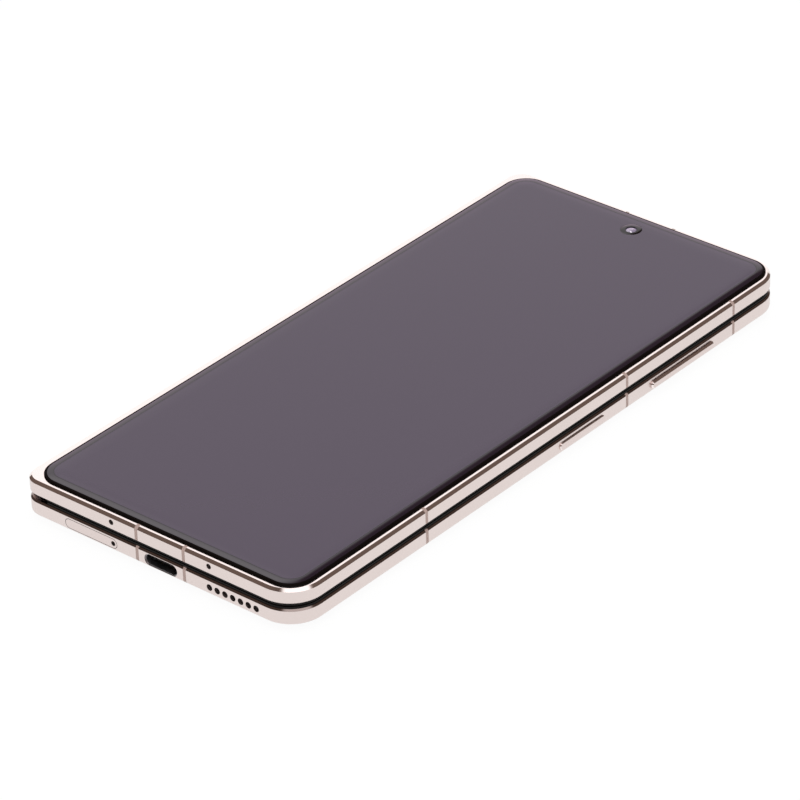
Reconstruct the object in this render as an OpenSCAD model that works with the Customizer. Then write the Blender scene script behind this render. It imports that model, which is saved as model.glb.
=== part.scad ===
// Folding smartphone, closed, cover screen up, in millimetres.
// X runs from the spine to the free edge, Y from the bottom edge to the top edge, Z up.
// The origin is at the middle of the footprint, at the level the phone rests on.

/* [Body] */
// Length from the bottom edge to the top edge
body_l = 160; // [140:0.5:180]
// Width of the closed phone from the spine to the free edge
body_w = 73; // [66:0.5:84]
// Frame height of the main half, back face to inner face
main_t = 3.7; // [3.7:0.05:4.4]
// Frame height of the cover half, inner face to rim
cover_t = 3.48; // [3.4:0.02:4.2]
// Gap between the two closed bezels
close_gap = 0.3; // [0.3:0.05:0.8]
// Corner radius at the free edge, seen from above
free_r = 7.6; // [6.5:0.1:10]
// Corner radius at the spine, seen from above
spine_r = 4; // [3:0.1:6]
// Rounding between the side wall and the back
back_round = 0.9; // [0.6:0.1:1.6]
// Polished chamfer between the side wall and the cover rim
rim_chamfer = 0.58; // [0.3:0.02:0.8]
// Chamfer along the inner faces
inner_chamfer = 0.35; // [0.1:0.05:0.5]
// Wall from the outer surface to the component bay
wall = 2.9; // [2.5:0.1:3.5]
// End wall that closes the hinge pocket
end_wall = 2.8; // [2.4:0.1:3.2]

/* [Panels] */
// Thickness of the rear cover
back_panel_t = 0.5; // [0.4:0.05:0.6]
// Inset of the rear cover from the outer surface
back_inset = 1.75; // [1.7:0.05:3]
// Cover glass thickness
glass_t = 0.55; // [0.4:0.05:0.7]
// Height of the cover glass above its rim
glass_proud = 0.7; // [0.6:0.02:0.8]
// Thickness of the gasket between the cover glass and its rim
gasket_t = 0.2; // [0.2:0.01:0.3]
// Inset of the cover glass from the free edge and the ends
glass_inset = 1.3; // [1.1:0.05:2]
// Inset of the cover glass from the spine
glass_spine_inset = 2; // [1.8:0.1:3]
// Corner radius of the cover glass
glass_r = 5.5; // [4:0.1:8]
// Edge rounding of the cover glass
glass_edge = 0.5; // [0.2:0.05:0.54]
// Cover display panel under the glass
panel_t = 0.4; // [0.3:0.05:0.5]
// Border of the cover glass outside its display panel
panel_border = 1; // [0.8:0.1:2]
// Thickness of the folding display
flex_t = 0.4; // [0.3:0.05:0.4]
// Bezel height above the inner face
bezel_h = 0.46; // [0.3:0.02:0.6]
// Bezel inset from the outer surface
bezel_inset = 0.45; // [0.4:0.05:1]
// Start of the bezels from the spine
bezel_start = 6.5; // [5:0.5:9]
// Clearance between parts that are fitted together
fit_gap = 0.05; // [0.03:0.01:0.08]

/* [Hinge] */
// Hinge axis from the spine's outer face
axis_in = 1.75; // [1.75:0.05:1.8]
// Hinge axis from the middle plane
axis_off = 1.9; // [1.9:0.05:1.95]
// Spine cover thickness
spine_t = 0.5; // [0.4:0.05:0.5]
// Arc of the spine cover past each axis
spine_arc = 52; // [40:1:52]
// Clearance of everything that swings past the spine
swing_gap = 0.15; // [0.15:0.01:0.2]
// Hinge pin radius
pin_r = 0.4; // [0.3:0.05:0.45]
// Gear pin radius
gear_pin_r = 0.25; // [0.2:0.01:0.27]
// Radial running clearance on the pins
pin_gap = 0.03; // [0.02:0.01:0.06]
// Knuckle radius of the hinge arms
knuckle_r = 1.05; // [0.9:0.05:1.1]
// Width of each hinge arm
arm_w = 6; // [4:0.5:8]
// Reach of each hinge arm from its axis
arm_l = 9.6; // [8.5:0.1:10]
// Thickness of each arm's foot
arm_t = 0.71; // [0.5:0.01:0.71]
// Width of each ear that carries a pin
ear_w = 1.5; // [1:0.25:2.5]
// Distance of the outer hinge modules from the middle
module_y = 47; // [40:1:50]
// Teeth on each synchronising gear
gear_teeth = 10; // [10:2:12]
// Face width of the synchronising gears
gear_w = 4; // [3:0.5:5]
// Start of the flat displays from the spine
fold_start = 13.5; // [13.5:0.1:15]
// Bend radius of the closed display loop
loop_r = 2; // [1.8:0.05:2]
// Closed display loop from the spine's outer face
loop_in = 2.85; // [2.85:0.05:3.2]

/* [Edge parts] */
// Antenna band width
band_w = 0.8; // [0.5:0.1:1.5]
// Antenna band depth
band_d = 1.2; // [0.8:0.1:1.5]
// Lower side antenna band from the bottom edge
band_low = 39.7; // [30:0.1:50]
// Upper side antenna bands from the top edge
band_high = [55.3, 18.3];
// End antenna bands from the spine
band_end = [31.3, 43.9];
// Height of the side openings above the back face
port_z = 1.85; // [1.7:0.05:2]
// Power key length
power_l = 13.9; // [10:0.1:18]
// Power key middle from the top edge
power_y = 70.5; // [65:0.5:78]
// Power key height above the side wall
power_proud = 0.35; // [0.3:0.05:0.6]
// Volume rocker length
rocker_l = 20.8; // [16:0.1:26]
// Volume rocker middle from the top edge
rocker_y = 36.5; // [32:0.5:42]
// Volume rocker height above the side wall
rocker_proud = 0.65; // [0.4:0.05:0.8]
// Height of both keys across the side wall
key_h = 1.7; // [1.6:0.1:2.2]
// Gap around the keys
key_gap = 0.1; // [0.06:0.01:0.12]
// Card tray face length
tray_l = 14; // [13:0.1:16]
// Card tray start from the spine
tray_x = 11.8; // [11:0.1:12]
// Card tray face height
tray_h = 2.1; // [1.8:0.1:2.2]
// Depth of the card tray from its face
tray_d = 24; // [18:0.5:25]
// Width of the card carrier behind the face
carrier_w = 9.7; // [9.5:0.1:10]
// USB-C opening width
usb_w = 8.64; // [8.6:0.01:8.7]
// USB-C opening height
usb_h = 2.66; // [2.6:0.01:2.7]
// USB-C receptacle depth
usb_d = 6.8; // [6:0.1:7.3]
// Loudspeaker holes in the bottom edge
speaker_n = 7; // [4:1:8]
// Loudspeaker hole diameter
speaker_hole = 1.45; // [0.8:0.05:1.5]
// Loudspeaker hole pitch
speaker_pitch = 2.03; // [1.8:0.01:2.2]
// First loudspeaker hole from the spine
speaker_x = 50.5; // [50:0.5:52]
// Microphone holes from the spine
mic_x = [24.6, 50.6];
// Microphone hole diameter
mic_hole = 1.2; // [0.6:0.1:1.2]

/* [Cameras] */
// Height of the rear camera island
island_h = 1.5; // [1:0.1:2.4]
// Radius of the rear camera island
island_r = 19.5; // [18.5:0.5:19.5]
// Island middle from the spine
island_x = 38; // [36:0.5:44]
// Island middle from the top edge
island_y = 32; // [30:0.5:35]
// Radius on which the rear cameras stand
camera_pcr = 9.2; // [9:0.1:9.6]
// Rear camera module radius
camera_r = 6; // [5:0.1:6.5]
// Cover camera middle from the spine
cover_cam_x = 37.3; // [30:0.1:45]
// Cover camera middle from the top edge
cover_cam_in = 7.4; // [7:0.1:11]
// Diameter of the cover camera's window
cover_cam_d = 4.9; // [4:0.1:6]
// Inner camera window diameter
inner_cam_d = 3.6; // [3:0.1:4.5]

/* [Inside] */
// Length of the main board from the top edge
board_l = 59; // [57:0.5:62]
// Length of the lower board from the bottom edge
low_board_l = 37; // [34:0.5:40]
// Length of the cover half's board from the top edge
cover_board_l = 33; // [30:0.5:36]
// Thickness of the boards
board_t = 0.6; // [0.5:0.05:0.7]
// Clearance of the boards inside their bays
board_gap = 0.4; // [0.3:0.05:0.6]
// Clearance between the batteries and the boards
battery_gap = 2.5; // [2:0.1:4]
// Width of the main board's lower shields
shield_w = 6.2; // [5:0.1:6.2]
// Outer radius of the charging coil
coil_r = 20; // [16:0.5:21]
// Inner radius of the charging coil
coil_in_r = 11; // [8:0.5:12]
// Radius of the vibration motor
motor_r = 4; // [3:0.1:4]
// Depth of the loudspeaker box from the bottom edge
speaker_d = 20; // [16:0.5:22]
// Shank radius of the board screws
screw_r = 0.6; // [0.5:0.05:0.7]

/* [Hidden] */
rocker_side = rocker_proud;
x_spine = -(body_w + rocker_side) / 2;
x_free = x_spine + body_w;
y_low = -body_l / 2;
y_top = body_l / 2;
z_back = island_h;
z_main = z_back + main_t;
z_mid = z_main + bezel_h + close_gap / 2;
z_cover = z_mid + close_gap / 2 + bezel_h;
z_rim = z_cover + cover_t;
z_glass = z_rim + glass_proud;
ax = x_spine + axis_in;
az_main = z_mid - axis_off;
az_cover = z_mid + axis_off;
pocket_y = body_l / 2 - end_wall;
spine_y = pocket_y - 0.3;
flex_y = pocket_y - 0.2;
fold_x = x_spine + fold_start;
flex_low = z_main - 0.2;
flex_off = z_mid - flex_low - flex_t / 2;
plate_low = flex_low - 0.75;
bead_r = 0.2;
bead_z = flex_low - 0.6;
floor_z = z_back + 0.85;
loop_x = x_spine + loop_in + flex_t / 2 + loop_r;
gear_pitch_r = axis_off / 3;
gear_m = 2 * gear_pitch_r / gear_teeth;
power_off = y_top - power_y;
rocker_off = y_top - rocker_y;
tray_mid = x_spine + tray_x + tray_l / 2;
carrier_x = x_spine + fold_start + bead_r + 0.5;
cage_x = carrier_x - 0.4;
cage_w = carrier_w + 0.8;
eject_x = x_spine + tray_x + tray_l - 1;
usb_x = x_spine + (band_end[0] + band_end[1]) / 2;
edge_z = z_back + port_z;
cam_x = x_spine + island_x;
cam_y = y_top - island_y;
cover_cx = x_spine + cover_cam_x;
cover_cy = y_top - cover_cam_in;
inner_cx = x_free - 12;
inner_cy = y_top - 9.5;
bay_x = x_spine + fold_start + 1.2;
board_y = y_top - board_l;
low_board_y = y_low + low_board_l;
cover_board_y = y_top - cover_board_l;
cover_floor = 2 * z_mid - plate_low;
panel_low = z_glass - glass_t - panel_t;
mic_z = z_cover + 1.9;
key_back = 2.5;
arm_holes = [arm_l - 5.4, arm_l - 1.8];
gear_arm_y = gear_w / 2 + 1.5;

champagne = [0.89, 0.84, 0.83];
steel = [0.72, 0.72, 0.73];
black = [0.05, 0.05, 0.055];
copper = [0.72, 0.45, 0.3];
green = [0.08, 0.2, 0.14];

$fn = 48;

// ---- outlines shared by both halves ----

// A plan outline with one corner radius at the spine and one at the free edge
module plan(x0, x1, y0, y1, rs, rf) {
  translate([x0 + rs, y0])
    square([x1 - x0 - rs - rf, y1 - y0]);
  translate([x0, y0 + rs])
    square([rs, y1 - y0 - 2 * rs]);
  translate([x1 - rf, y0 + rf])
    square([rf, y1 - y0 - 2 * rf]);
  for (y = [y0 + rs, y1 - rs])
    translate([x0 + rs, y])
      circle(r = rs);
  for (y = [y0 + rf, y1 - rf])
    translate([x1 - rf, y])
      circle(r = rf);
}

// The outline of a half moved in by "e"
module half_plan(e) {
  plan(x_spine + e, x_free - e, y_low + e, y_top - e, max(spine_r - e, 0.4), max(free_r - e, 0.4));
}

// A slab's edge profile, rounded or bevelled at the bottom and chamfered at the top
module edge_profile(w, h, rb, ct, bevel = false) {
  difference() {
    square([w, h]);
    if (bevel)
      polygon([[w - rb, 0], [w, rb], [w + 1, rb], [w + 1, -1], [w - rb, -1]]);
    else
      difference() {
        translate([w - rb, -1])
          square([rb + 1, rb + 1]);
        translate([w - rb, rb])
          circle(r = rb);
      }
    polygon([[w - ct, h], [w, h - ct], [w + 1, h - ct], [w + 1, h + 1], [w - ct, h + 1]]);
  }
}

// A slab with rounded corners and the edge profile all round
module slab(x0, x1, y0, y1, rs, rf, h, rb, ct, bevel = false) {
  corners = [[x0 + rs, y0 + rs, rs, 180], [x1 - rf, y0 + rf, rf, 270],
             [x1 - rf, y1 - rf, rf, 0], [x0 + rs, y1 - rs, rs, 90]];
  for (c = corners)
    translate([c[0], c[1], 0])
      rotate([0, 0, c[3]])
        rotate_extrude(angle = 90, $fn = 72)
          edge_profile(c[2], h, rb, ct, bevel);
  translate([x1 - rf, y0 + rs, 0])
    rotate([90, 0, -90])
      linear_extrude(x1 - x0 - rs - rf)
        edge_profile(rs, h, rb, ct, bevel);
  translate([x0 + rs, y1 - rs, 0])
    rotate([90, 0, 90])
      linear_extrude(x1 - x0 - rs - rf)
        edge_profile(rs, h, rb, ct, bevel);
  translate([x0 + rs, y0 + rs, 0])
    rotate([90, 0, 180])
      linear_extrude(y1 - y0 - 2 * rs)
        edge_profile(rs, h, rb, ct, bevel);
  translate([x1 - rf, y1 - rf, 0])
    rotate([90, 0, 0])
      linear_extrude(y1 - y0 - 2 * rf)
        edge_profile(rf, h, rb, ct, bevel);
  translate([x0 + rs, y0 + rs, 0])
    cube([x1 - x0 - rs - rf, y1 - y0 - 2 * rs, h]);
}

// The whole outer form of a frame, back face down
module half_slab(h, rb, bevel) {
  slab(x_spine, x_free, y_low, y_top, spine_r, free_r, h, rb, inner_chamfer, bevel);
}

module main_form() {
  translate([0, 0, z_back])
    half_slab(main_t, back_round, false);
}

module cover_form() {
  translate([0, 0, z_rim])
    mirror([0, 0, 1])
      half_slab(cover_t, rim_chamfer, true);
}

// A prism on a plan outline between two heights
module layer(e, z0, z1) {
  translate([0, 0, z0])
    linear_extrude(z1 - z0)
      half_plan(e);
}

// A box from one corner to the opposite one
module box(a, b) {
  translate(a)
    cube([b[0] - a[0], b[1] - a[1], b[2] - a[2]]);
}

// A flat-sided slot with round ends, along X, standing up in Z
module stadium(l, h) {
  square([l - h, h], center = true);
  for (s = [-1, 1])
    translate([s * (l - h) / 2, 0])
      circle(d = h);
}

// Mirrors a part of the main half about the middle plane
module to_cover() {
  translate([0, 0, 2 * z_mid])
    mirror([0, 0, 1])
      children();
}

// ---- cuts ----

// The band positions, as boxes deep enough for one frame
module band_boxes(z0, z1) {
  for (y = [y_low + band_low, y_top - band_high[0], y_top - band_high[1]])
    box([x_free - band_d, y - band_w / 2, z0], [x_free + 1, y + band_w / 2, z1]);
  for (x = band_end)
    for (s = [-1, 1])
      translate([x_spine + x - band_w / 2, s > 0 ? y_top - band_d : y_low - 1, z0])
        cube([band_w, band_d + 1, z1 - z0]);
}

// Everything that swings past the spine, cut out of the main half
module spine_pocket() {
  box([x_spine - 1, -pocket_y, az_main - axis_in - swing_gap],
      [ax + 1, pocket_y, z_mid]);
  box([ax + 0.9, -pocket_y, floor_z],
      [fold_x, pocket_y, z_mid]);
  difference() {
    box([x_spine - 1, y_low - 1, az_main], [ax, y_top + 1, z_mid]);
    translate([ax, y_low - 2, az_main])
      rotate([-90, 0, 0])
        cylinder(r = axis_off - swing_gap, h = body_l + 4, $fn = 64);
  }
}

module key_slot(y, l, d) {
  translate([x_free + 1, y, edge_z])
    rotate([90, 0, -90])
      linear_extrude(d + 1)
        stadium(l, key_h + 2 * key_gap);
}

// ---- main half ----

module main_frame() {
  color(champagne)
    difference() {
      main_form();
      // seat of the rear cover
      translate([0, 0, z_back - 1])
        linear_extrude(back_panel_t + 1)
          plan(x_spine + 3.6 - fit_gap, x_free - back_inset + fit_gap, y_low + back_inset - fit_gap,
               y_top - back_inset + fit_gap, 2, free_r - back_inset);
      // component bay
      box([bay_x, y_low + wall, z_back + 0.3], [x_free - wall, y_top - wall, plate_low]);
      // seat of the folding display
      box([fold_x - 1, -pocket_y, flex_low], [x_free - wall + 0.1, pocket_y, z_main + 1]);
      spine_pocket();
      // bead seat of the wing plate
      translate([fold_x, -flex_y, bead_z])
        rotate([-90, 0, 0])
          cylinder(r = bead_r + fit_gap, h = 2 * flex_y, $fn = 32);
      band_boxes(z_back - 1, z_main + 1);
      // power key
      key_slot(power_off, power_l + 2 * key_gap, 1.7);
      box([x_free - key_back, power_off - power_l / 2 - 1.2, z_back + 0.55],
          [x_free - 1.3, power_off + power_l / 2 + 1.2, z_back + 3.2]);
      // volume rocker
      key_slot(rocker_off, rocker_l + 2 * key_gap, 1.7);
      box([x_free - key_back, rocker_off - rocker_l / 2 - 1.2, z_back + 0.55],
          [x_free - 1.1, rocker_off + rocker_l / 2 + 1.2, z_back + 3.2]);
      // card tray
      translate([tray_mid, y_low + 1.5, edge_z])
        rotate([90, 0, 0])
          linear_extrude(3)
            stadium(tray_l + 2 * key_gap, tray_h + 2 * key_gap);
      box([cage_x - 0.05, y_low + 1.4, edge_z - 0.95],
          [cage_x + cage_w + 0.05, y_low + tray_d + 1, edge_z + 0.77]);
      translate([eject_x, y_low + 4.4, edge_z])
        rotate([90, 0, 0])
          cylinder(d = 1.2, h = 3.2, $fn = 24);
      // USB-C opening
      translate([usb_x, y_low + wall + 0.1, edge_z])
        rotate([90, 0, 0])
          linear_extrude(wall + 1)
            stadium(usb_w + 2 * fit_gap, usb_h + 2 * fit_gap);
      box([usb_x - 4.7, y_low + wall - 0.1, z_back + 0.45],
          [usb_x + 4.7, y_low + usb_d + 0.8, edge_z + usb_h / 2 + fit_gap]);
      // loudspeaker grille
      for (i = [0 : speaker_n - 1])
        translate([x_spine + speaker_x + i * speaker_pitch, y_low + wall + 0.1, edge_z])
          rotate([90, 0, 0])
            cylinder(d = speaker_hole, h = wall + 1, $fn = 24);
      // rear cameras
      translate([cam_x, cam_y, z_back - 1])
        cylinder(r = island_r - 1.4, h = plate_low - z_back + 1, $fn = 96);
      // inner camera
      translate([inner_cx, inner_cy, plate_low - 1])
        cylinder(d = inner_cam_d + 0.9, h = 3);
    }
}

module main_bands() {
  color([0.68, 0.6, 0.58])
    intersection() {
      difference() {
        main_form();
        translate([0, 0, z_back - 1])
          linear_extrude(main_t + 2)
            plan(x_spine - 1, x_free - band_d, y_low + band_d, y_top - band_d, 0.4, 0.4);
      }
      band_boxes(z_back - 1, z_main + 1);
    }
}

module back_panel() {
  color([0.86, 0.81, 0.8])
    difference() {
      translate([0, 0, z_back])
        slab(x_spine + 3.6, x_free - back_inset, y_low + back_inset, y_top - back_inset,
             2, free_r - back_inset, back_panel_t - 0.02, 0.15, 0.05);
      translate([cam_x, cam_y, z_back - 1])
        cylinder(r = island_r - 1.4, h = 3, $fn = 96);
    }
}

module at_cameras() {
  for (a = [90, 210, 330])
    translate([cam_x + camera_pcr * cos(a), cam_y + camera_pcr * sin(a), 0])
      children();
}

module camera_ring() {
  color(champagne)
    translate([cam_x, cam_y, 0])
      difference() {
        union() {
          rotate_extrude($fn = 96)
            polygon([[0, 0], [island_r - 0.6, 0], [island_r, 0.6], [island_r, island_h],
                     [0, island_h]]);
          translate([0, 0, island_h - 0.1])
            cylinder(r = island_r - 1.4 - fit_gap, h = 1, $fn = 96);
        }
        translate([0, 0, -1])
          cylinder(r = island_r - 1.6, h = 1.65, $fn = 96);
        for (a = [90, 210, 330])
          translate([camera_pcr * cos(a), camera_pcr * sin(a), -1])
            cylinder(r = camera_r + fit_gap, h = 5);
        translate([0, 0, -1])
          cylinder(r = 1.9 + fit_gap, h = 5, $fn = 32);
      }
}

module camera_glass() {
  color([0.1, 0.1, 0.12])
    translate([cam_x, cam_y, 0.05])
      rotate_extrude($fn = 96)
        edge_profile(island_r - 1.65, 0.58, 0.2, 0.02);
}

// One camera: a square-shouldered can with a lens barrel that faces down
module camera_can(a, r) {
  translate([cam_x + camera_pcr * cos(a), cam_y + camera_pcr * sin(a), 0]) {
    difference() {
      union() {
        translate([0, 0, 0.65])
          cylinder(r = r - 1.2, h = 2);
        translate([0, 0, z_back + 0.45])
          cylinder(r = r, h = plate_low - z_back - 0.55);
      }
      translate([0, 0, 0])
        cylinder(r1 = r - 2, r2 = r - 2.6, h = 1.5);
    }
    translate([r - 0.5, -1.8, z_back + 1])
      cube([0.9, 3.6, 0.4]);
  }
}

module wide_camera() {
  color(black)
    camera_can(90, camera_r);
}

module ultrawide_camera() {
  color(black)
    camera_can(210, camera_r - 0.4);
}

module tele_camera() {
  color(black)
    camera_can(330, camera_r - 0.2);
}

module camera_lenses() {
  color([0.15, 0.2, 0.3])
    at_cameras()
      translate([0, 0, 1.5])
        mirror([0, 0, 1])
          rotate_extrude()
            intersection() {
              square([camera_r - 3.45, 1]);
              translate([0, -5.2])
                circle(r = 5.8, $fn = 96);
            }
}

module flash_led() {
  color([0.95, 0.85, 0.5])
    translate([cam_x, cam_y, 0.65])
      union() {
        cylinder(r = 1.9, h = 1.2, $fn = 32);
        translate([-1.2, -1.2, 1])
          cube([2.4, 2.4, 0.8]);
      }
}

module main_board() {
  color(green)
    difference() {
      box([bay_x + board_gap + 0.2, board_y, z_back + 0.75],
          [x_free - wall - board_gap, y_top - wall - board_gap, z_back + 0.75 + board_t]);
      translate([cam_x, cam_y, 0])
        cylinder(r = island_r - 0.8, h = 10, $fn = 72);
      translate([inner_cx, inner_cy, 0])
        cylinder(d = 6, h = 10);
      box([x_free - wall - 2.2, rocker_off - rocker_l / 2 - 2, 0],
          [x_free, rocker_off + rocker_l / 2 + 2, 9]);
      for (y = [board_y + 3, y_top - 7])
        translate([x_free - wall - 4, y, 0])
          cylinder(r = screw_r + 0.5, h = 10, $fn = 24);
    }
}

module board_shields() {
  color(steel)
    for (b = [[bay_x + 2, board_y + 1.5, 22, shield_w], [bay_x + 28, board_y + 1.5, 17, shield_w],
              [bay_x + 1.2, y_top - 10.5, 12, 6.5]])
      translate([b[0], b[1], z_back + 0.75 + board_t])
        difference() {
          cube([b[2], b[3], plate_low - z_back - board_t - 0.85]);
          translate([0.2, 0.2, -1])
            cube([b[2] - 0.4, b[3] - 0.4, plate_low - z_back - board_t - 0.05]);
        }
}

module main_battery() {
  color([0.12, 0.12, 0.13])
    translate([0, 0, z_back + 0.85])
      slab(bay_x + 0.8, x_free - wall - 2.6, low_board_y + battery_gap, board_y - battery_gap,
           1.5, 1.5, plate_low - z_back - 1, 0.4, 0.3);
}

module charging_coil() {
  color(copper)
    translate([(bay_x + x_free - wall - 2) / 2, (low_board_y + board_y) / 2, z_back + 0.58])
      difference() {
        cylinder(r = coil_r, h = 0.2, $fn = 72);
        translate([0, 0, -1])
          cylinder(r = coil_in_r, h = 2, $fn = 48);
      }
}

module sub_board() {
  color(green)
    difference() {
      box([tray_mid + tray_l / 2 + 2.4, y_low + wall + board_gap, z_back + 0.75],
          [x_free - wall - board_gap, low_board_y, z_back + 0.7 + board_t]);
      box([usb_x - 4.9, y_low, 0], [usb_x + 4.9, y_low + usb_d + 1, 9]);
      box([x_spine + speaker_x - 2, y_low, 0], [x_free - 6.5, y_low + speaker_d + 0.5, 9]);
      for (p = [[x_free - wall - 3, y_low + 8], [x_spine + 46, low_board_y - 4]])
        translate([p[0], p[1], 0])
          cylinder(r = screw_r + 0.5, h = 10, $fn = 24);
    }
}

module usb_shell() {
  color(steel)
    translate([usb_x, y_low + 0.3 + usb_d, edge_z])
      rotate([90, 0, 0]) {
        linear_extrude(usb_d)
          difference() {
            stadium(usb_w, usb_h);
            stadium(usb_w - 0.3, usb_h - 0.3);
          }
        linear_extrude(0.3)
          stadium(usb_w, usb_h);
      }
}

module usb_tongue() {
  color(black)
    translate([usb_x - 3.33, y_low + 1.4, edge_z - 0.35])
      cube([6.66, usb_d - 1.4, 0.7]);
}

module loudspeaker() {
  color(black)
    difference() {
      translate([0, 0, z_back + 0.6])
        slab(x_spine + speaker_x - 1.6, x_free - 6.9, y_low + wall + 0.1, y_low + speaker_d,
             0.6, 1.2, plate_low - z_back - 0.7, 0.2, 0.2);
      for (i = [0 : speaker_n - 1])
        translate([x_spine + speaker_x + i * speaker_pitch, y_low + wall + 1.6, edge_z])
          rotate([90, 0, 0])
            cylinder(d = speaker_hole, h = 3, $fn = 24);
    }
}

module vibration_motor() {
  color(steel)
    translate([x_spine + 35, low_board_y - motor_r - 3, z_back + 0.7 + board_t])
      union() {
        cylinder(r = motor_r, h = plate_low - z_back - board_t - 0.8);
        translate([motor_r - 0.5, -1, 0])
          cube([2.5, 2, 0.3]);
      }
}

// Sheet-metal cage that guides the card tray
module card_socket() {
  color(steel)
    difference() {
      box([cage_x, y_low + wall + 0.2, edge_z - 0.9],
          [cage_x + cage_w, y_low + tray_d + 0.9, edge_z + 0.75]);
      box([cage_x + 0.3, y_low + 1, edge_z - 0.75],
          [cage_x + cage_w - 0.3, y_low + tray_d + 0.6, edge_z + 0.6]);
    }
}

module card_tray() {
  color(champagne)
    difference() {
      union() {
        intersection() {
          translate([tray_mid, y_low + 1.4, edge_z])
            rotate([90, 0, 0])
              linear_extrude(3)
                stadium(tray_l - 0.04, tray_h - 0.04);
          main_form();
        }
        box([carrier_x, y_low + 1.3, edge_z - 0.65],
            [carrier_x + carrier_w, y_low + tray_d, edge_z + 0.5]);
      }
      // card recess
      translate([carrier_x + 0.4, y_low + tray_d - 14, edge_z - 0.3])
        cube([carrier_w - 0.8, 12.4, 2]);
      // eject hole
      translate([eject_x, y_low + 1.9, edge_z])
        rotate([90, 0, 0])
          cylinder(d = 1.1, h = 3, $fn = 24);
    }
}

// A key: a rounded bar through the wall with a flange behind it
module key(y, l, proud) {
  translate([0, y, edge_z]) {
    translate([x_free + proud, 0, 0])
      rotate([90, 0, -90])
        linear_extrude(0.2)
          stadium(l - 0.4, key_h - 0.4);
    translate([x_free + proud - 0.2, 0, 0])
      rotate([90, 0, -90])
        linear_extrude(1.3 + proud)
          stadium(l, key_h);
    translate([x_free - 1.8, -l / 2 - 0.5, -key_h / 2])
      cube([0.4, l + 1, key_h]);
  }
}

module power_key() {
  color(champagne)
    key(power_off, power_l, power_proud);
}

module power_switch() {
  color(black)
    translate([x_free - key_back, power_off - 5, edge_z - 1])
      union() {
        cube([0.2, 10, 2]);
        translate([0, 3.5, 0.3])
          cube([0.4, 3, 1.4]);
      }
}

// The rocker tilts about a round rib behind its flange
module volume_rocker() {
  color(champagne) {
    key(rocker_off, rocker_l, rocker_proud);
    translate([x_free - 1.8, rocker_off, edge_z - key_h / 2])
      cylinder(r = key_back - 1.8 - fit_gap, h = key_h, $fn = 32);
  }
}

module rocker_switch() {
  color(black)
    for (s = [-1, 1])
      translate([x_free - key_back, rocker_off + s * 7 - 2, edge_z - 1])
        union() {
          cube([0.2, 4, 2]);
          translate([0, 1, 0.4])
            cube([0.4, 2, 1.2]);
        }
}

module main_flex() {
  color([0.07, 0.07, 0.08])
    difference() {
      box([fold_x, -flex_y + 0.1, flex_low], [x_free - wall, flex_y - 0.1, flex_low + flex_t]);
      translate([inner_cx, inner_cy, flex_low - 1])
        cylinder(d = inner_cam_d, h = 3);
    }
}

// A bezel: three sides of a thin ring, open towards the spine
module bezel_ring() {
  difference() {
    layer(bezel_inset, z_main, z_main + bezel_h);
    box([x_spine - 1, -flex_y, z_main - 1], [x_free - wall, flex_y, z_main + 2]);
    box([x_spine - 1, y_low - 1, z_main - 1], [x_spine + bezel_start, y_top + 1, z_main + 2]);
  }
}

module main_bezel() {
  color(black)
    bezel_ring();
}

// Angle of the closed display from its flat start down to the loop
wing_tilt = asin(loop_r / norm([fold_x - loop_x, flex_off])) - atan(flex_off / (fold_x - loop_x));

// Plate that carries the display beside the loop, with a bead to swing on
module wing() {
  translate([fold_x, 0, bead_z]) {
    translate([0, -flex_y + 0.2, 0])
      rotate([-90, 0, 0])
        cylinder(r = bead_r, h = 2 * flex_y - 0.4, $fn = 32);
    rotate([0, -wing_tilt, 0])
      translate([-7, -flex_y + 0.2, -0.1])
        cube([7, 2 * flex_y - 0.4, 0.2]);
  }
}

module main_wing() {
  color(steel)
    wing();
}

module inner_camera() {
  color(black)
    translate([inner_cx, inner_cy, z_back + 0.8])
      union() {
        cylinder(d = 5, h = plate_low - z_back - 0.9);
        cylinder(d = inner_cam_d - 0.2, h = flex_low + flex_t - z_back - 1);
      }
}

// A screw with a hexagon socket, head down at z = 0
module screw(r, l) {
  difference() {
    union() {
      cylinder(r = r * 1.7, h = 0.35, $fn = 24);
      cylinder(r = r, h = l, $fn = 24);
    }
    translate([0, 0, -0.1])
      cylinder(r = r * 0.7, h = 0.3, $fn = 6);
  }
}

main_screw_at = [[x_free - wall - 4, board_y + 3], [x_free - wall - 4, y_top - 7],
                 [x_free - wall - 3, y_low + 8], [x_spine + 46, low_board_y - 4]];

module main_screws() {
  color(steel) {
    for (p = main_screw_at)
      translate([p[0], p[1], z_back + 0.55])
        screw(screw_r, 1.9);
    arm_screws(gear_arm_y);
  }
}

// ---- cover half ----

// The outline of the cover display, moved out by "e"
module panel_plan(e) {
  r = glass_r - panel_border + e;
  plan(x_spine + 3.65 - e, x_free - glass_inset - panel_border + e,
       y_low + glass_inset + panel_border - e, y_top - glass_inset - panel_border + e, r, r);
}

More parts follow.
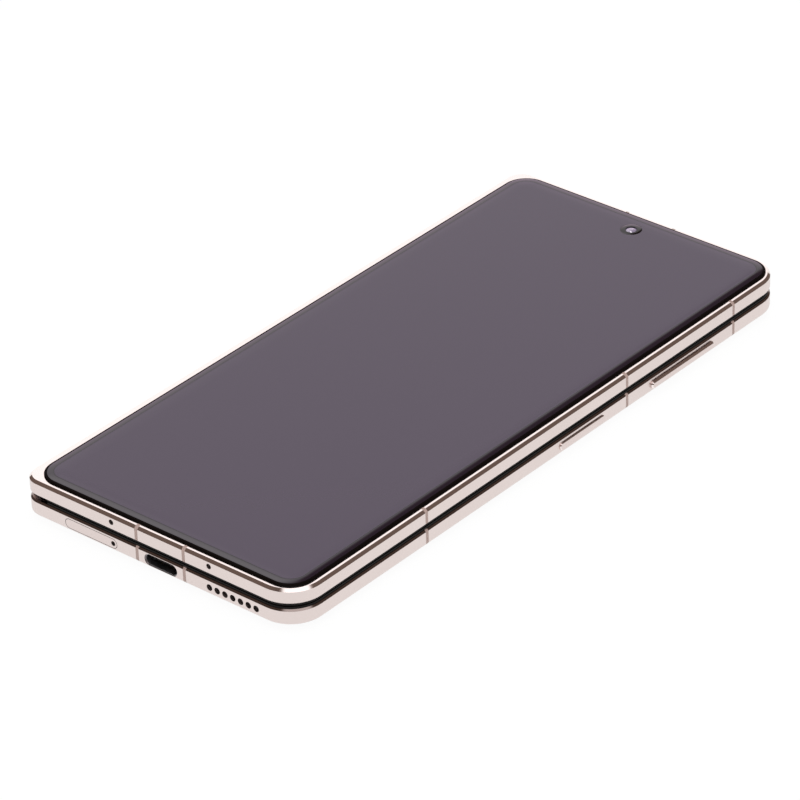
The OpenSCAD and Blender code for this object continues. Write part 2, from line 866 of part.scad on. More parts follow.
module cover_frame() {
  color(champagne)
    difference() {
      cover_form();
      // seat of the gasket under the cover glass
      translate([0, 0, z_glass - glass_t - gasket_t])
        linear_extrude(3)
          plan(x_spine + glass_spine_inset - fit_gap, x_free - glass_inset + fit_gap,
               y_low + glass_inset - fit_gap, y_top - glass_inset + fit_gap, glass_r, glass_r);
      // seat of the cover display
      translate([0, 0, panel_low])
        linear_extrude(z_glass - panel_low)
          panel_plan(fit_gap);
      // component bay
      box([bay_x, y_low + wall, cover_floor], [x_free - wall, y_top - wall, panel_low + 0.05]);
      // seat of the folding display
      to_cover()
        box([fold_x - 1, -pocket_y, flex_low], [x_free - wall + 0.1, pocket_y, z_main + 1]);
      to_cover()
        spine_pocket();
      to_cover()
        translate([fold_x, -flex_y, bead_z])
          rotate([-90, 0, 0])
            cylinder(r = bead_r + fit_gap, h = 2 * flex_y, $fn = 32);
      band_boxes(z_cover - 1, z_rim + 1);
      // microphones in the bottom edge
      for (x = mic_x)
        translate([x_spine + x, y_low + wall + 0.1, mic_z])
          rotate([90, 0, 0])
            cylinder(d = mic_hole, h = wall + 1, $fn = 24);
      // earpiece slit in the top rim
      box([cover_cx - 6, y_top - glass_inset - 0.3, z_glass - glass_t - 0.3],
          [cover_cx + 6, y_top - glass_inset + 0.2, z_rim + 1]);
    }
}

module cover_bands() {
  color([0.68, 0.6, 0.58])
    intersection() {
      difference() {
        cover_form();
        translate([0, 0, z_cover - 1])
          linear_extrude(cover_t + 2)
            plan(x_spine - 1, x_free - band_d, y_low + band_d, y_top - band_d, 0.4, 0.4);
      }
      band_boxes(z_cover - 1, z_rim + 1);
    }
}

module cover_glass() {
  color([0.3, 0.29, 0.32])
    translate([0, 0, z_glass])
      mirror([0, 0, 1])
        slab(x_spine + glass_spine_inset, x_free - glass_inset, y_low + glass_inset,
             y_top - glass_inset, glass_r, glass_r, glass_t, glass_edge, 0.02);
}

module cover_gasket() {
  color(black)
    difference() {
      translate([0, 0, z_glass - glass_t - gasket_t])
        linear_extrude(gasket_t)
          plan(x_spine + glass_spine_inset, x_free - glass_inset, y_low + glass_inset,
               y_top - glass_inset, glass_r, glass_r);
      translate([0, 0, z_rim - 1])
        linear_extrude(2)
          panel_plan(fit_gap);
      // earpiece slit
      box([cover_cx - 6, y_top - glass_inset - 0.3, z_rim - 1], [cover_cx + 6, y_top, z_glass]);
    }
}

module cover_panel() {
  color([0.16, 0.15, 0.18])
    difference() {
      translate([0, 0, panel_low])
        linear_extrude(panel_t)
          panel_plan(0);
      translate([cover_cx, cover_cy, z_rim - 3])
        cylinder(d = cover_cam_d, h = 6);
    }
}

module cover_camera() {
  color(black)
    translate([cover_cx, cover_cy, cover_floor + 0.1]) {
      cylinder(d = 5.8, h = panel_low - cover_floor - 0.2);
      difference() {
        cylinder(d = cover_cam_d - 0.2, h = z_glass - glass_t - cover_floor - 0.15);
        translate([0, 0, 1.6])
          cylinder(d = cover_cam_d - 2.1, h = 6);
      }
    }
}

module cover_board() {
  color(green)
    difference() {
      box([bay_x + board_gap + 0.2, cover_board_y, cover_floor + 0.15],
          [x_free - wall - board_gap, y_top - wall - board_gap, cover_floor + 0.15 + board_t]);
      translate([cover_cx, cover_cy, 0])
        cylinder(d = 7, h = 20);
      for (x = [bay_x + 4, x_free - wall - 4])
        translate([x, y_top - 8, 0])
          cylinder(r = screw_r + 0.5, h = 20, $fn = 24);
    }
}

module cover_shield() {
  color(steel)
    translate([bay_x + 6, cover_board_y + 3, cover_floor + 0.15 + board_t])
      difference() {
        cube([40, 13, 1.2]);
        translate([0.2, 0.2, -1])
          cube([39.6, 12.6, 2]);
      }
}

module cover_battery() {
  color([0.12, 0.12, 0.13])
    translate([0, 0, cover_floor + 0.1])
      slab(bay_x + 0.8, x_free - wall - 0.8, y_low + 8, cover_board_y - battery_gap,
           1.5, 1.5, panel_low - cover_floor - 0.25, 0.3, 0.3);
}

module earpiece() {
  color(black)
    box([cover_cx - 17, y_top - wall - 8, cover_floor + 0.25 + board_t],
        [cover_cx - 5, y_top - wall - 1, panel_low - 0.1]);
}

module cover_flex() {
  color([0.07, 0.07, 0.08])
    to_cover()
      box([fold_x, -flex_y + 0.1, flex_low], [x_free - wall, flex_y - 0.1, flex_low + flex_t]);
}

module cover_bezel() {
  color(black)
    to_cover()
      bezel_ring();
}

module cover_wing() {
  color(steel)
    to_cover()
      wing();
}

module cover_screws() {
  color(steel) {
    for (x = [bay_x + 4, x_free - wall - 4])
      translate([x, y_top - 8, panel_low - 0.15])
        mirror([0, 0, 1])
          screw(screw_r, 1.8);
    to_cover()
      arm_screws(-gear_arm_y);
  }
}

// ---- hinge ----

// A prism along Y on a drawing in X and Z, centred on "y"
module along_y(y, w) {
  translate([0, y + w / 2, 0])
    rotate([90, 0, 0])
      linear_extrude(w)
        children();
}

module spine_cover() {
  color(champagne)
    along_y(0, 2 * spine_y) {
      translate([x_spine, az_main])
        square([spine_t, 2 * axis_off]);
      for (s = [-1, 1])
        translate([ax, z_mid + s * axis_off])
          intersection() {
            difference() {
              circle(r = axis_in, $fn = 96);
              circle(r = axis_in - spine_t, $fn = 96);
            }
            polygon([[0, 0], [-3, 0], [-3, s * 3 * tan(spine_arc)]]);
          }
    }
}

// One ear: a plate that carries both pins and stands on the spine cover
module ear(y, w, pr) {
  along_y(y, w)
    difference() {
      union() {
        translate([x_spine + spine_t, az_main])
          square([axis_in - spine_t + 0.75, 2 * axis_off]);
        for (z = [az_main, az_cover])
          translate([ax, z])
            circle(r = axis_in - spine_t - 0.02);
      }
      for (z = [az_main, az_cover])
        translate([ax, z])
          circle(r = pr + 0.01);
    }
}

module spine_caps() {
  color(steel)
    for (s = [-1, 1])
      along_y(s * (spine_y - 0.6), 1.2)
        union() {
          translate([x_spine + spine_t, az_main])
            square([axis_in - spine_t + 0.4, 2 * axis_off]);
          for (z = [az_main, az_cover])
            translate([ax, z])
              circle(r = axis_in - spine_t - 0.02);
        }
}

module hinge_bases() {
  color(steel)
    for (s = [-1, 1])
      for (d = [-1, 1])
        ear(s * module_y + d * (arm_w / 2 + 0.3 + ear_w / 2), ear_w, pin_r);
}

module gear_base() {
  e = gear_w / 2 + 3.5 + ear_w / 2;
  color(steel)
    for (d = [-1, 1])
      difference() {
        ear(d * e, ear_w, gear_pin_r);
        for (k = [-1, 1])
          along_y(d * e, ear_w + 1)
            translate([ax, z_mid + k * gear_pitch_r])
              circle(r = 0.25 + pin_gap, $fn = 24);
      }
}

module hinge_pins() {
  color([0.8, 0.8, 0.82])
    for (z = [az_main, az_cover]) {
      for (s = [-1, 1])
        along_y(s * module_y, arm_w + 0.6 + 2 * ear_w + 8)
          translate([ax, z])
            circle(r = pin_r, $fn = 32);
      along_y(0, gear_w + 7 + 2 * ear_w)
        translate([ax, z])
          circle(r = gear_pin_r, $fn = 32);
    }
}

// Cone springs pressed against the outer ears, on the pins
module detent_springs() {
  color(steel)
    for (s = [-1, 1])
      for (d = [-1, 1])
        for (z = [az_main, az_cover])
          for (k = [0 : 3])
            translate([ax, s * module_y + d * (arm_w / 2 + 0.35 + ear_w + k * 0.8), z])
              rotate([-90 * d, 0, 0])
                rotate_extrude($fn = 32)
                  polygon(k % 2 == 0
                    ? [[pin_r + 0.02, 0.2], [1.1, 0.02], [1.1, 0.22], [pin_r + 0.02, 0.4]]
                    : [[pin_r + 0.02, 0.02], [1.1, 0.2], [1.1, 0.4], [pin_r + 0.02, 0.22]]);
}

// The drawing of an arm on the main half, about its axis
module arm_shape(r, pr) {
  low = floor_z - az_main;
  difference() {
    union() {
      circle(r = r);
      polygon([[0.2, 0.5], [r * 0.9, 0.35], [1.25, 0.05], [1.95, -0.5], [2.6, low + arm_t],
               [arm_l, low + arm_t], [arm_l, low], [2.1, low], [1.85, -0.98], [1.1, -0.6],
               [0.2, -0.5]]);
    }
    circle(r = pr + pin_gap);
  }
}

// An arm with its two screw holes in the foot
module arm(y, w, r, pr) {
  difference() {
    along_y(y, w)
      translate([ax, az_main])
        arm_shape(r, pr);
    for (x = arm_holes)
      translate([ax + x, y, floor_z - 1]) {
        cylinder(r = 0.55, h = 3, $fn = 24);
        translate([0, 0, 1 + arm_t - 0.4])
          cylinder(r = 1.05, h = 2, $fn = 24);
      }
  }
}

module main_arms() {
  color(steel)
    for (s = [-1, 1])
      arm(s * module_y, arm_w, knuckle_r, pin_r);
}

module cover_arms() {
  color(steel)
    to_cover()
      for (s = [-1, 1])
        arm(s * module_y, arm_w, knuckle_r, pin_r);
}

// The screws of every arm on the main half; "y" is the gear arm's middle
module arm_screws(y) {
  for (p = [-module_y, y, module_y])
    for (x = arm_holes)
      translate([ax + x, p, floor_z + arm_t - 0.03])
        mirror([0, 0, 1])
          screw(0.5, arm_t - 0.05);
}

// A gear drawing; "turn" is half a tooth or none
module gear_shape(turn) {
  ra = gear_pitch_r + 0.85 * gear_m;
  rd = gear_pitch_r - 1.15 * gear_m;
  half = 180 / gear_teeth;
  circle(r = rd, $fn = 40);
  for (i = [0 : gear_teeth - 1])
    rotate([0, 0, 90 + turn * half + i * 2 * half])
      polygon([[rd * 0.9, -0.62 * gear_m], [rd, -0.9 * gear_m], [gear_pitch_r, -0.64 * gear_m],
               [ra, -0.26 * gear_m], [ra, 0.26 * gear_m], [gear_pitch_r, 0.64 * gear_m],
               [rd, 0.9 * gear_m], [rd * 0.9, 0.62 * gear_m]]);
}

// A gear fixed to its arm, beside it on the same pin
module gear_arm(turn, y) {
  along_y(0, gear_w)
    translate([ax, az_main])
      difference() {
        gear_shape(turn);
        circle(r = gear_pin_r + pin_gap, $fn = 32);
      }
  arm(y, 3, 0.85, gear_pin_r);
}

module main_gear_arm() {
  color(steel)
    gear_arm(0, gear_arm_y);
}

module cover_gear_arm() {
  color(steel)
    to_cover()
      gear_arm(1, -gear_arm_y);
}

module idler(z, turn) {
  along_y(0, gear_w - 0.4)
    translate([ax, z])
      gear_shape(turn);
  along_y(0, gear_w + 7 + 2 * ear_w - 0.4)
    translate([ax, z])
      circle(r = 0.25, $fn = 24);
}

module lower_idler() {
  color(steel)
    idler(z_mid - gear_pitch_r, 1);
}

module upper_idler() {
  color(steel)
    idler(z_mid + gear_pitch_r, 0);
}

// Points along one side of the closed loop: straight, round the bend and back
function loop_line(r, h) =
  let (d = fold_x - loop_x, a = atan(h / d) + acos(r / norm([d, h])))
  concat([[d, h]], [for (i = [0 : 40]) let (t = a + i * (360 - 2 * a) / 40) [r * cos(t), r * sin(t)]],
         [[d, -h]]);

function backwards(list) = [for (i = [len(list) - 1 : -1 : 0]) list[i]];

module fold_flex() {
  color([0.07, 0.07, 0.08])
    along_y(0, 2 * flex_y - 0.2)
      translate([loop_x, z_mid])
        polygon(concat(loop_line(loop_r + flex_t / 2, flex_off + flex_t / 2),
                       backwards(loop_line(loop_r - flex_t / 2, flex_off - flex_t / 2))));
}

main_frame();
main_bands();
back_panel();
camera_ring();
camera_glass();
wide_camera();
ultrawide_camera();
tele_camera();
camera_lenses();
flash_led();
main_board();
board_shields();
main_battery();
charging_coil();
sub_board();
usb_shell();
usb_tongue();
loudspeaker();
vibration_motor();
card_socket();
card_tray();
power_key();
power_switch();
volume_rocker();
rocker_switch();
main_flex();
main_bezel();
main_wing();
inner_camera();
main_screws();
cover_frame();
cover_bands();
cover_glass();
cover_gasket();
cover_panel();
cover_camera();
cover_board();
cover_shield();
cover_battery();
earpiece();
cover_flex();
cover_bezel();
cover_wing();
cover_screws();
spine_cover();
spine_caps();
hinge_bases();
gear_base();
hinge_pins();
detent_springs();
main_arms();
main_gear_arm();
cover_arms();
cover_gear_arm();
lower_idler();
upper_idler();
fold_flex();
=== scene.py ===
import math

import bpy
from mathutils import Matrix, Vector


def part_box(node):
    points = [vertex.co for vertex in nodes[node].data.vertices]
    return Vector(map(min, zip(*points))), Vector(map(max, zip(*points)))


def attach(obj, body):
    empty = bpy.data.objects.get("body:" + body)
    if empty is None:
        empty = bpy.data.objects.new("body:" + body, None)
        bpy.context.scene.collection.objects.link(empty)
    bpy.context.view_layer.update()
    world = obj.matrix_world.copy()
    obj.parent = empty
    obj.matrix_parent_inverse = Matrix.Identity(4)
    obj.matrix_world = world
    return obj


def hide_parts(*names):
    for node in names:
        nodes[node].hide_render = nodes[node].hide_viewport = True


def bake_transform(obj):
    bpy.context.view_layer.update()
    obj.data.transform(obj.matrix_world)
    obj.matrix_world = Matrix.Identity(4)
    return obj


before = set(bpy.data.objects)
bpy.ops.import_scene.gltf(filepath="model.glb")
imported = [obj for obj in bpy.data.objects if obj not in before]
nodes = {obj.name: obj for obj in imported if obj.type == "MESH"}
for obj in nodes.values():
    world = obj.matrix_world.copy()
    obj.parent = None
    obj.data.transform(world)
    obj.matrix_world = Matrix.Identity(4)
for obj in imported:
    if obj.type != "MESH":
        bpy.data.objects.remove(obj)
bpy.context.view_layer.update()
mm = 0.001
print("frame loaded:", len(nodes), "nodes")


def linear(hexColour):
    # sRGB hex, as picked in a colour dialog, to the linear values that Blender's sockets take
    values = [int(hexColour[i:i + 2], 16) / 255 for i in (1, 3, 5)]
    return [v / 12.92 if v <= 0.04045 else ((v + 0.055) / 1.055) ** 2.4 for v in values] + [1.0]


def deselectEverything():
    if bpy.context.object and bpy.context.object.mode != "OBJECT":
        bpy.ops.object.mode_set(mode="OBJECT")
    bpy.ops.object.select_all(action="DESELECT")


def nameActive(name):
    obj = bpy.context.object
    obj.name = name
    obj.data.name = name
    return obj


def activate(obj):
    deselectEverything()
    obj.select_set(True)
    bpy.context.view_layer.objects.active = obj


def selectFaces(obj, test):
    # back in edit mode with only those faces selected whose middle and normal pass the test
    bpy.ops.object.mode_set(mode="EDIT")
    bpy.ops.mesh.select_mode(type="FACE")
    bpy.ops.mesh.select_all(action="DESELECT")
    bpy.ops.object.mode_set(mode="OBJECT")
    for face in obj.data.polygons:
        face.select = test(face.center, face.normal)
    bpy.ops.object.mode_set(mode="EDIT")


def selectEdges(obj, test):
    # back in edit mode with only those edges selected whose two ends pass the test
    bpy.ops.object.mode_set(mode="EDIT")
    bpy.ops.mesh.select_mode(type="EDGE")
    bpy.ops.mesh.select_all(action="DESELECT")
    bpy.ops.object.mode_set(mode="OBJECT")
    for edge in obj.data.edges:
        a, b = [obj.data.vertices[i].co for i in edge.vertices]
        edge.select = test(a, b)
    bpy.ops.object.mode_set(mode="EDIT")


def settle(obj, angle=35):
    # the place goes into the mesh, doubles merge, faces turn outwards and soft edges shade smooth
    activate(obj)
    bpy.ops.object.transform_apply(location=True, rotation=True, scale=True)
    bpy.ops.object.mode_set(mode="EDIT")
    bpy.ops.mesh.select_all(action="SELECT")
    bpy.ops.mesh.remove_doubles(threshold=1e-7)
    bpy.ops.mesh.normals_make_consistent(inside=False)
    bpy.ops.object.mode_set(mode="OBJECT")
    for modifier in list(obj.modifiers):
        bpy.ops.object.modifier_apply(modifier=modifier.name)
    bpy.ops.object.shade_smooth_by_angle(angle=math.radians(angle))
    obj.select_set(False)
    return obj


def copyTo(obj, name, offset):
    # a copy with its own mesh, its place already in the mesh
    deselectEverything()
    twin = obj.copy()
    twin.data = obj.data.copy()
    twin.name = name
    twin.data.name = name
    bpy.context.collection.objects.link(twin)
    twin.data.transform(Matrix.Translation(Vector(offset) * mm))
    return twin


def finishPiece(obj, body, slotName, *materials):
    # finishes on its faces and the body that it moves with; slotName, the record's slot, is not used
    obj.data.materials.clear()
    for material in materials:
        obj.data.materials.append(material)
    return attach(obj, body)


camera = {
    "azimuth": 40.868,  # degrees round the phone from its bottom edge
    "elevation": 31.485,
    "roll": -1.827,
    "distance": 962.43,  # mm from the target
    "target": (2.395, -8.23, 7.2),  # mm
    "lens": 209.75,  # mm
    "sensor": 36,  # mm
    "nearest": 0.01,  # m, nothing closer than this is drawn
}


def placeCamera():
    az, el, roll = (math.radians(camera[k]) for k in ("azimuth", "elevation", "roll"))
    back = Vector((math.sin(az) * math.cos(el), -math.cos(az) * math.cos(el), math.sin(el)))
    side = Vector((math.cos(az), math.sin(az), 0))
    up = back.cross(side)
    right = side * math.cos(roll) + up * math.sin(roll)
    top = up * math.cos(roll) - side * math.sin(roll)
    place = (Vector(camera["target"]) + back * camera["distance"]) * mm
    turn = Matrix((right, top, back)).transposed().to_4x4()
    deselectEverything()
    bpy.ops.object.camera_add()
    cam = nameActive("productCamera")
    cam.matrix_world = Matrix.Translation(place) @ turn
    cam.data.lens = camera["lens"]
    cam.data.sensor_width = camera["sensor"]
    cam.data.clip_start = camera["nearest"]
    bpy.context.scene.camera = cam


placeCamera()
print("camera placed")


def addNode(tree, kind, settings=None, links=None):
    # one node: settings go to its sockets or its own properties, links to its sockets
    node = tree.nodes.new(kind)
    for key, value in (settings or {}).items():
        if isinstance(key, int) or key in node.inputs:
            node.inputs[key].default_value = value
        else:
            setattr(node, key, value)
    for key, source in (links or {}).items():
        tree.links.new(source, node.inputs[key])
    return node


def newMaterial(name, settings):
    # a material with one Principled shader; its constant values are set on the shader itself
    material = bpy.data.materials.new(name)
    material.use_nodes = True
    tree = material.node_tree
    tree.nodes.clear()
    shader = addNode(tree, "ShaderNodeBsdfPrincipled", settings)
    addNode(tree, "ShaderNodeOutputMaterial", None, {"Surface": shader.outputs[0]})
    return material, tree, shader


def inMillimetres(tree):
    # object coordinates in millimetres, so that every pattern below has its real size
    place = addNode(tree, "ShaderNodeTexCoord")
    return addNode(tree, "ShaderNodeVectorMath", {"operation": "SCALE", "Scale": 1000.0},
                   {0: place.outputs["Object"]}).outputs[0]


studio = {
    "floorSize": 6.0,  # m
    "floorDrop": 0.02,  # mm below the phone, so that the two never share a plane
    "floorColour": "#F4F4F4",
    "shadowKept": 0.06,  # how much of the phone's shadow the white floor keeps
    "diffuseLevel": 0.62,  # even light from all round
    # what gloss sees: heights are sines of the elevation, 0 at the horizon and 1 overhead
    "lowWalls": 0.30,
    "ceiling": 0.06,
    "ceilingEdge": (0.68, 0.9),
    "wallColour": "#B69C90",  # brown cards round the set, which the cut edges mirror
    "wallLevels": (0.45, 0.9),  # from fully brown to fully the panel's white
    # the tall white panel behind the phone, which the cover glass mirrors
    "panel": 1.17,
    "panelLean": (-1, 0, -0.3),
    "panelSide": (0.15, 0.33),  # soft edges: to the side, at the back and towards the floor
    "panelBack": (0.2, 0.45),
    "panelSill": (0.04, 0.16),  # leaves a dark line along the edge of the glass
    "panelColour": "#FFFAFB",
    # its lower part is brighter and a little lilac
    "lowerPart": 1.4,
    "lowerRange": (0.46, 0.2),
    "lowerColour": "#FFEAFB",
    "lowerColourRange": (0.46, 0.3),
    "softSpots": [  # azimuth, elevation, inner and outer radius in degrees, level
        (150, 50, 5, 19, 0.85),
        (-30, 57, 20, 38, 1.25),
        (131, 62, 4, 7, 9.0),
    ],
    "lamps": {  # place and width in m, power in W
        "overheadSoftbox": ((0.15, -0.1, 1.3), 1.4, 13.0),
        "frontSoftbox": ((0.9, -1.0, 0.7), 1.0, 6.0),
    },
}


def buildWorld():
    # even light for the matt faces, and a set of walls, panel and soft spots for the glossy ones to mirror
    world = bpy.data.worlds.new("studioWorld")
    bpy.context.scene.world = world
    world.use_nodes = True
    tree = world.node_tree
    tree.nodes.clear()
    sky = addNode(tree, "ShaderNodeTexCoord").outputs["Generated"]
    split = addNode(tree, "ShaderNodeSeparateXYZ", None, {0: sky})
    height = {"Value": split.outputs["Z"]}
    start, end = studio["ceilingEdge"]
    walls = addNode(tree, "ShaderNodeMapRange",
                    {"interpolation_type": "SMOOTHSTEP", "From Min": start, "From Max": end,
                     "To Min": studio["lowWalls"], "To Max": studio["ceiling"]}, height)
    lean = addNode(tree, "ShaderNodeVectorMath", {"operation": "DOT_PRODUCT", 1: studio["panelLean"]}, {0: sky})
    start, end = studio["panelSide"]
    panel = addNode(tree, "ShaderNodeMapRange",
                    {"interpolation_type": "SMOOTHSTEP", "From Min": start, "From Max": end,
                     "To Max": studio["panel"]}, {"Value": lean.outputs["Value"]})
    fades = []
    for source, (start, end) in (("Y", studio["panelBack"]), ("Z", studio["panelSill"])):
        fades.append(addNode(tree, "ShaderNodeMapRange",
                             {"interpolation_type": "SMOOTHSTEP", "From Min": start, "From Max": end},
                             {"Value": split.outputs[source]}))
    start, end = studio["lowerRange"]
    fades.append(addNode(tree, "ShaderNodeMapRange",
                         {"From Min": start, "From Max": end, "To Min": 1.0, "To Max": studio["lowerPart"]}, height))
    for fade in fades:
        panel = addNode(tree, "ShaderNodeMath", {"operation": "MULTIPLY"}, {0: panel.outputs[0], 1: fade.outputs[0]})
    total = addNode(tree, "ShaderNodeMath", {"operation": "MAXIMUM"}, {0: walls.outputs[0], 1: panel.outputs[0]})
    for azimuth, elevation, inner, outer, level in studio["softSpots"]:
        az, el = math.radians(azimuth), math.radians(elevation)
        centre = (math.cos(az) * math.cos(el), math.sin(az) * math.cos(el), math.sin(el))
        near = addNode(tree, "ShaderNodeVectorMath", {"operation": "DOT_PRODUCT", 1: centre}, {0: sky})
        spot = addNode(tree, "ShaderNodeMapRange",
                       {"interpolation_type": "SMOOTHSTEP", "From Min": math.cos(math.radians(outer)),
                        "From Max": math.cos(math.radians(inner)), "To Max": level},
                       {"Value": near.outputs["Value"]})
        total = addNode(tree, "ShaderNodeMath", {"operation": "ADD"}, {0: total.outputs[0], 1: spot.outputs[0]})
    start, end = studio["wallLevels"]
    dim = addNode(tree, "ShaderNodeMapRange", {"From Min": start, "From Max": end, "To Min": 1.0, "To Max": 0.0},
                  {"Value": total.outputs[0]})
    start, end = studio["lowerColourRange"]
    low = addNode(tree, "ShaderNodeMapRange", {"From Min": start, "From Max": end}, height)
    hue = addNode(tree, "ShaderNodeMix", {"data_type": "RGBA", 6: linear(studio["panelColour"]),
                                          7: linear(studio["lowerColour"])}, {"Factor": low.outputs[0]})
    hue = addNode(tree, "ShaderNodeMix", {"data_type": "RGBA", 7: linear(studio["wallColour"])},
                  {"Factor": dim.outputs[0], 6: hue.outputs[2]})
    path = addNode(tree, "ShaderNodeLightPath")
    hue = addNode(tree, "ShaderNodeMix", {"data_type": "RGBA", 6: (1, 1, 1, 1)},
                  {"Factor": path.outputs["Is Glossy Ray"], 7: hue.outputs[2]})
    soft = addNode(tree, "ShaderNodeMix", {"data_type": "FLOAT", "B": studio["diffuseLevel"]},
                   {"Factor": path.outputs["Is Diffuse Ray"], "A": total.outputs[0]})
    level = addNode(tree, "ShaderNodeMix", {"data_type": "FLOAT", "B": 1.0},  # 1 is white
                    {"Factor": path.outputs["Is Camera Ray"], "A": soft.outputs[0]})
    background = addNode(tree, "ShaderNodeBackground", None,
                         {"Color": hue.outputs[2], "Strength": level.outputs[0]})
    addNode(tree, "ShaderNodeOutputWorld", None, {"Surface": background.outputs[0]})


def buildFloor():
    # white to the eye and in every reflection, and matt paper for the light and the shadow
    deselectEverything()
    bpy.ops.mesh.primitive_plane_add(size=studio["floorSize"], location=(0, 0, -studio["floorDrop"] * mm))
    floor = settle(nameActive("studioFloor"))
    paper = bpy.data.materials.new("whitePaperSweep")
    paper.use_nodes = True
    tree = paper.node_tree
    tree.nodes.clear()
    path = addNode(tree, "ShaderNodeLightPath")
    seen = addNode(tree, "ShaderNodeMath", {"operation": "MAXIMUM"},
                   {0: path.outputs["Is Camera Ray"], 1: path.outputs["Is Glossy Ray"]})
    seen = addNode(tree, "ShaderNodeMath", {"operation": "MAXIMUM"},
                   {0: seen.outputs[0], 1: path.outputs["Is Transmission Ray"]})
    share = addNode(tree, "ShaderNodeMath", {"operation": "MULTIPLY", 1: 1.0 - studio["shadowKept"]},
                    {0: seen.outputs[0]})
    matt = addNode(tree, "ShaderNodeBsdfDiffuse", {"Color": linear(studio["floorColour"])})
    white = addNode(tree, "ShaderNodeEmission", {"Color": (1, 1, 1, 1), "Strength": 1.0})
    mixed = addNode(tree, "ShaderNodeMixShader", None,
                    {0: share.outputs[0], 1: matt.outputs[0], 2: white.outputs[0]})
    addNode(tree, "ShaderNodeOutputMaterial", None, {"Surface": mixed.outputs[0]})
    floor.data.materials.append(paper)


def hangLamps():
    for name, (place, width, power) in studio["lamps"].items():
        deselectEverything()
        bpy.ops.object.light_add(type="AREA", location=place)
        lamp = nameActive(name)
        lamp.data.size = width
        lamp.data.energy = power
        lamp.visible_glossy = False
        lamp.rotation_euler = (-Vector(place)).to_track_quat("-Z", "Y").to_euler()  # aimed at the phone


buildWorld()
buildFloor()
hangLamps()
bpy.context.scene.view_settings.view_transform = "Standard"
print("studio built")


aluminium = {
    "grain": 0.25,  # mm; real blasting is too fine to show, so it is drawn this coarse
    "grainShade": 0.96,
    "grainStrength": 0.05,
    "grainDepth": 0.02,  # mm
    "cloud": 20.0,  # mm across, patches over which the roughness wanders
    "roughness": (0.31, 0.37),
    "cutRoughness": 0.13,
    "cutBlur": 0.01,  # mm over which the cut gives way to the blasting
    "rimHeight": 0.60,  # mm of the cut round the cover glass, and of the one along the gap between the halves
    "rimColour": "#F5EBE7",
    "gapHeight": 0.35,
    # painted shade: the darker grey of the cut band along the gap between the halves stands in for the shade in that
    # gap
    "gapPaintedShade": "#9A8D88",
    "cutMargin": 0.02,  # mm that a cut band reaches past its edge
    "wholePart": 100,  # mm, a band that takes in all of a small part
}


def aluminiumFinish(name, colour, cutMiddle=None, cutHalf=0, cutColourOrPaintedShade="#FFFFFF"):
    # anodised aluminium, bead-blasted: an even satin with a fine grain that softens what it mirrors;
    # between cutMiddle - cutHalf and cutMiddle + cutHalf (mm high) it is diamond cut and smooth, in the band's own
    # colour: bright for a cut, and a darker grey as painted shade for the band in the gap between the halves
    material, tree, shader = newMaterial(name, {"Metallic": 1.0})
    place = inMillimetres(tree)
    grain = addNode(tree, "ShaderNodeTexNoise",
                    {"Scale": 1 / aluminium["grain"], "Detail": 3.0, "Roughness": 0.7}, {"Vector": place})
    cloud = addNode(tree, "ShaderNodeTexNoise", {"Scale": 1 / aluminium["cloud"], "Detail": 2.0}, {"Vector": place})
    smooth, dull = aluminium["roughness"]  # reached at 0.3 and 0.7, which hold most of the noise
    rough = addNode(tree, "ShaderNodeMapRange", {"From Min": 0.3, "From Max": 0.7, "To Min": smooth, "To Max": dull},
                    {"Value": cloud.outputs["Fac"]})
    shaded = [c * aluminium["grainShade"] for c in linear(colour)[:3]] + [1]
    tint = addNode(tree, "ShaderNodeMix", {"data_type": "RGBA", 6: linear(colour), 7: shaded},
                   {"Factor": grain.outputs["Fac"]})
    bump = addNode(tree, "ShaderNodeBump",
                   {"Strength": aluminium["grainStrength"], "Distance": aluminium["grainDepth"] * mm},
                   {"Height": grain.outputs["Fac"]})
    if cutMiddle is not None:
        split = addNode(tree, "ShaderNodeSeparateXYZ", None, {0: place})
        away = addNode(tree, "ShaderNodeMath", {"operation": "SUBTRACT", 1: cutMiddle}, {0: split.outputs["Z"]})
        away = addNode(tree, "ShaderNodeMath", {"operation": "ABSOLUTE"}, {0: away.outputs[0]})
        cut = addNode(tree, "ShaderNodeMapRange",
                      {"From Min": cutHalf - aluminium["cutBlur"], "From Max": cutHalf + aluminium["cutBlur"],
                       "To Min": 1.0, "To Max": 0.0}, {"Value": away.outputs[0]})
        rough = addNode(tree, "ShaderNodeMix", {"data_type": "FLOAT", "B": aluminium["cutRoughness"]},
                        {"Factor": cut.outputs[0], "A": rough.outputs[0]})
        # the band's colour: bright for a real cut, a painted shade for the band in the gap
        tint = addNode(tree, "ShaderNodeMix", {"data_type": "RGBA", 7: linear(cutColourOrPaintedShade)},
                       {"Factor": cut.outputs[0], 6: tint.outputs[2]})
        strength = addNode(tree, "ShaderNodeMapRange", {"To Min": aluminium["grainStrength"], "To Max": 0.0},
                           {"Value": cut.outputs[0]})
        tree.links.new(strength.outputs[0], bump.inputs["Strength"])
    tree.links.new(tint.outputs[2], shader.inputs["Base Color"])
    tree.links.new(rough.outputs[0], shader.inputs["Roughness"])
    tree.links.new(bump.outputs[0], shader.inputs["Normal"])
    return material


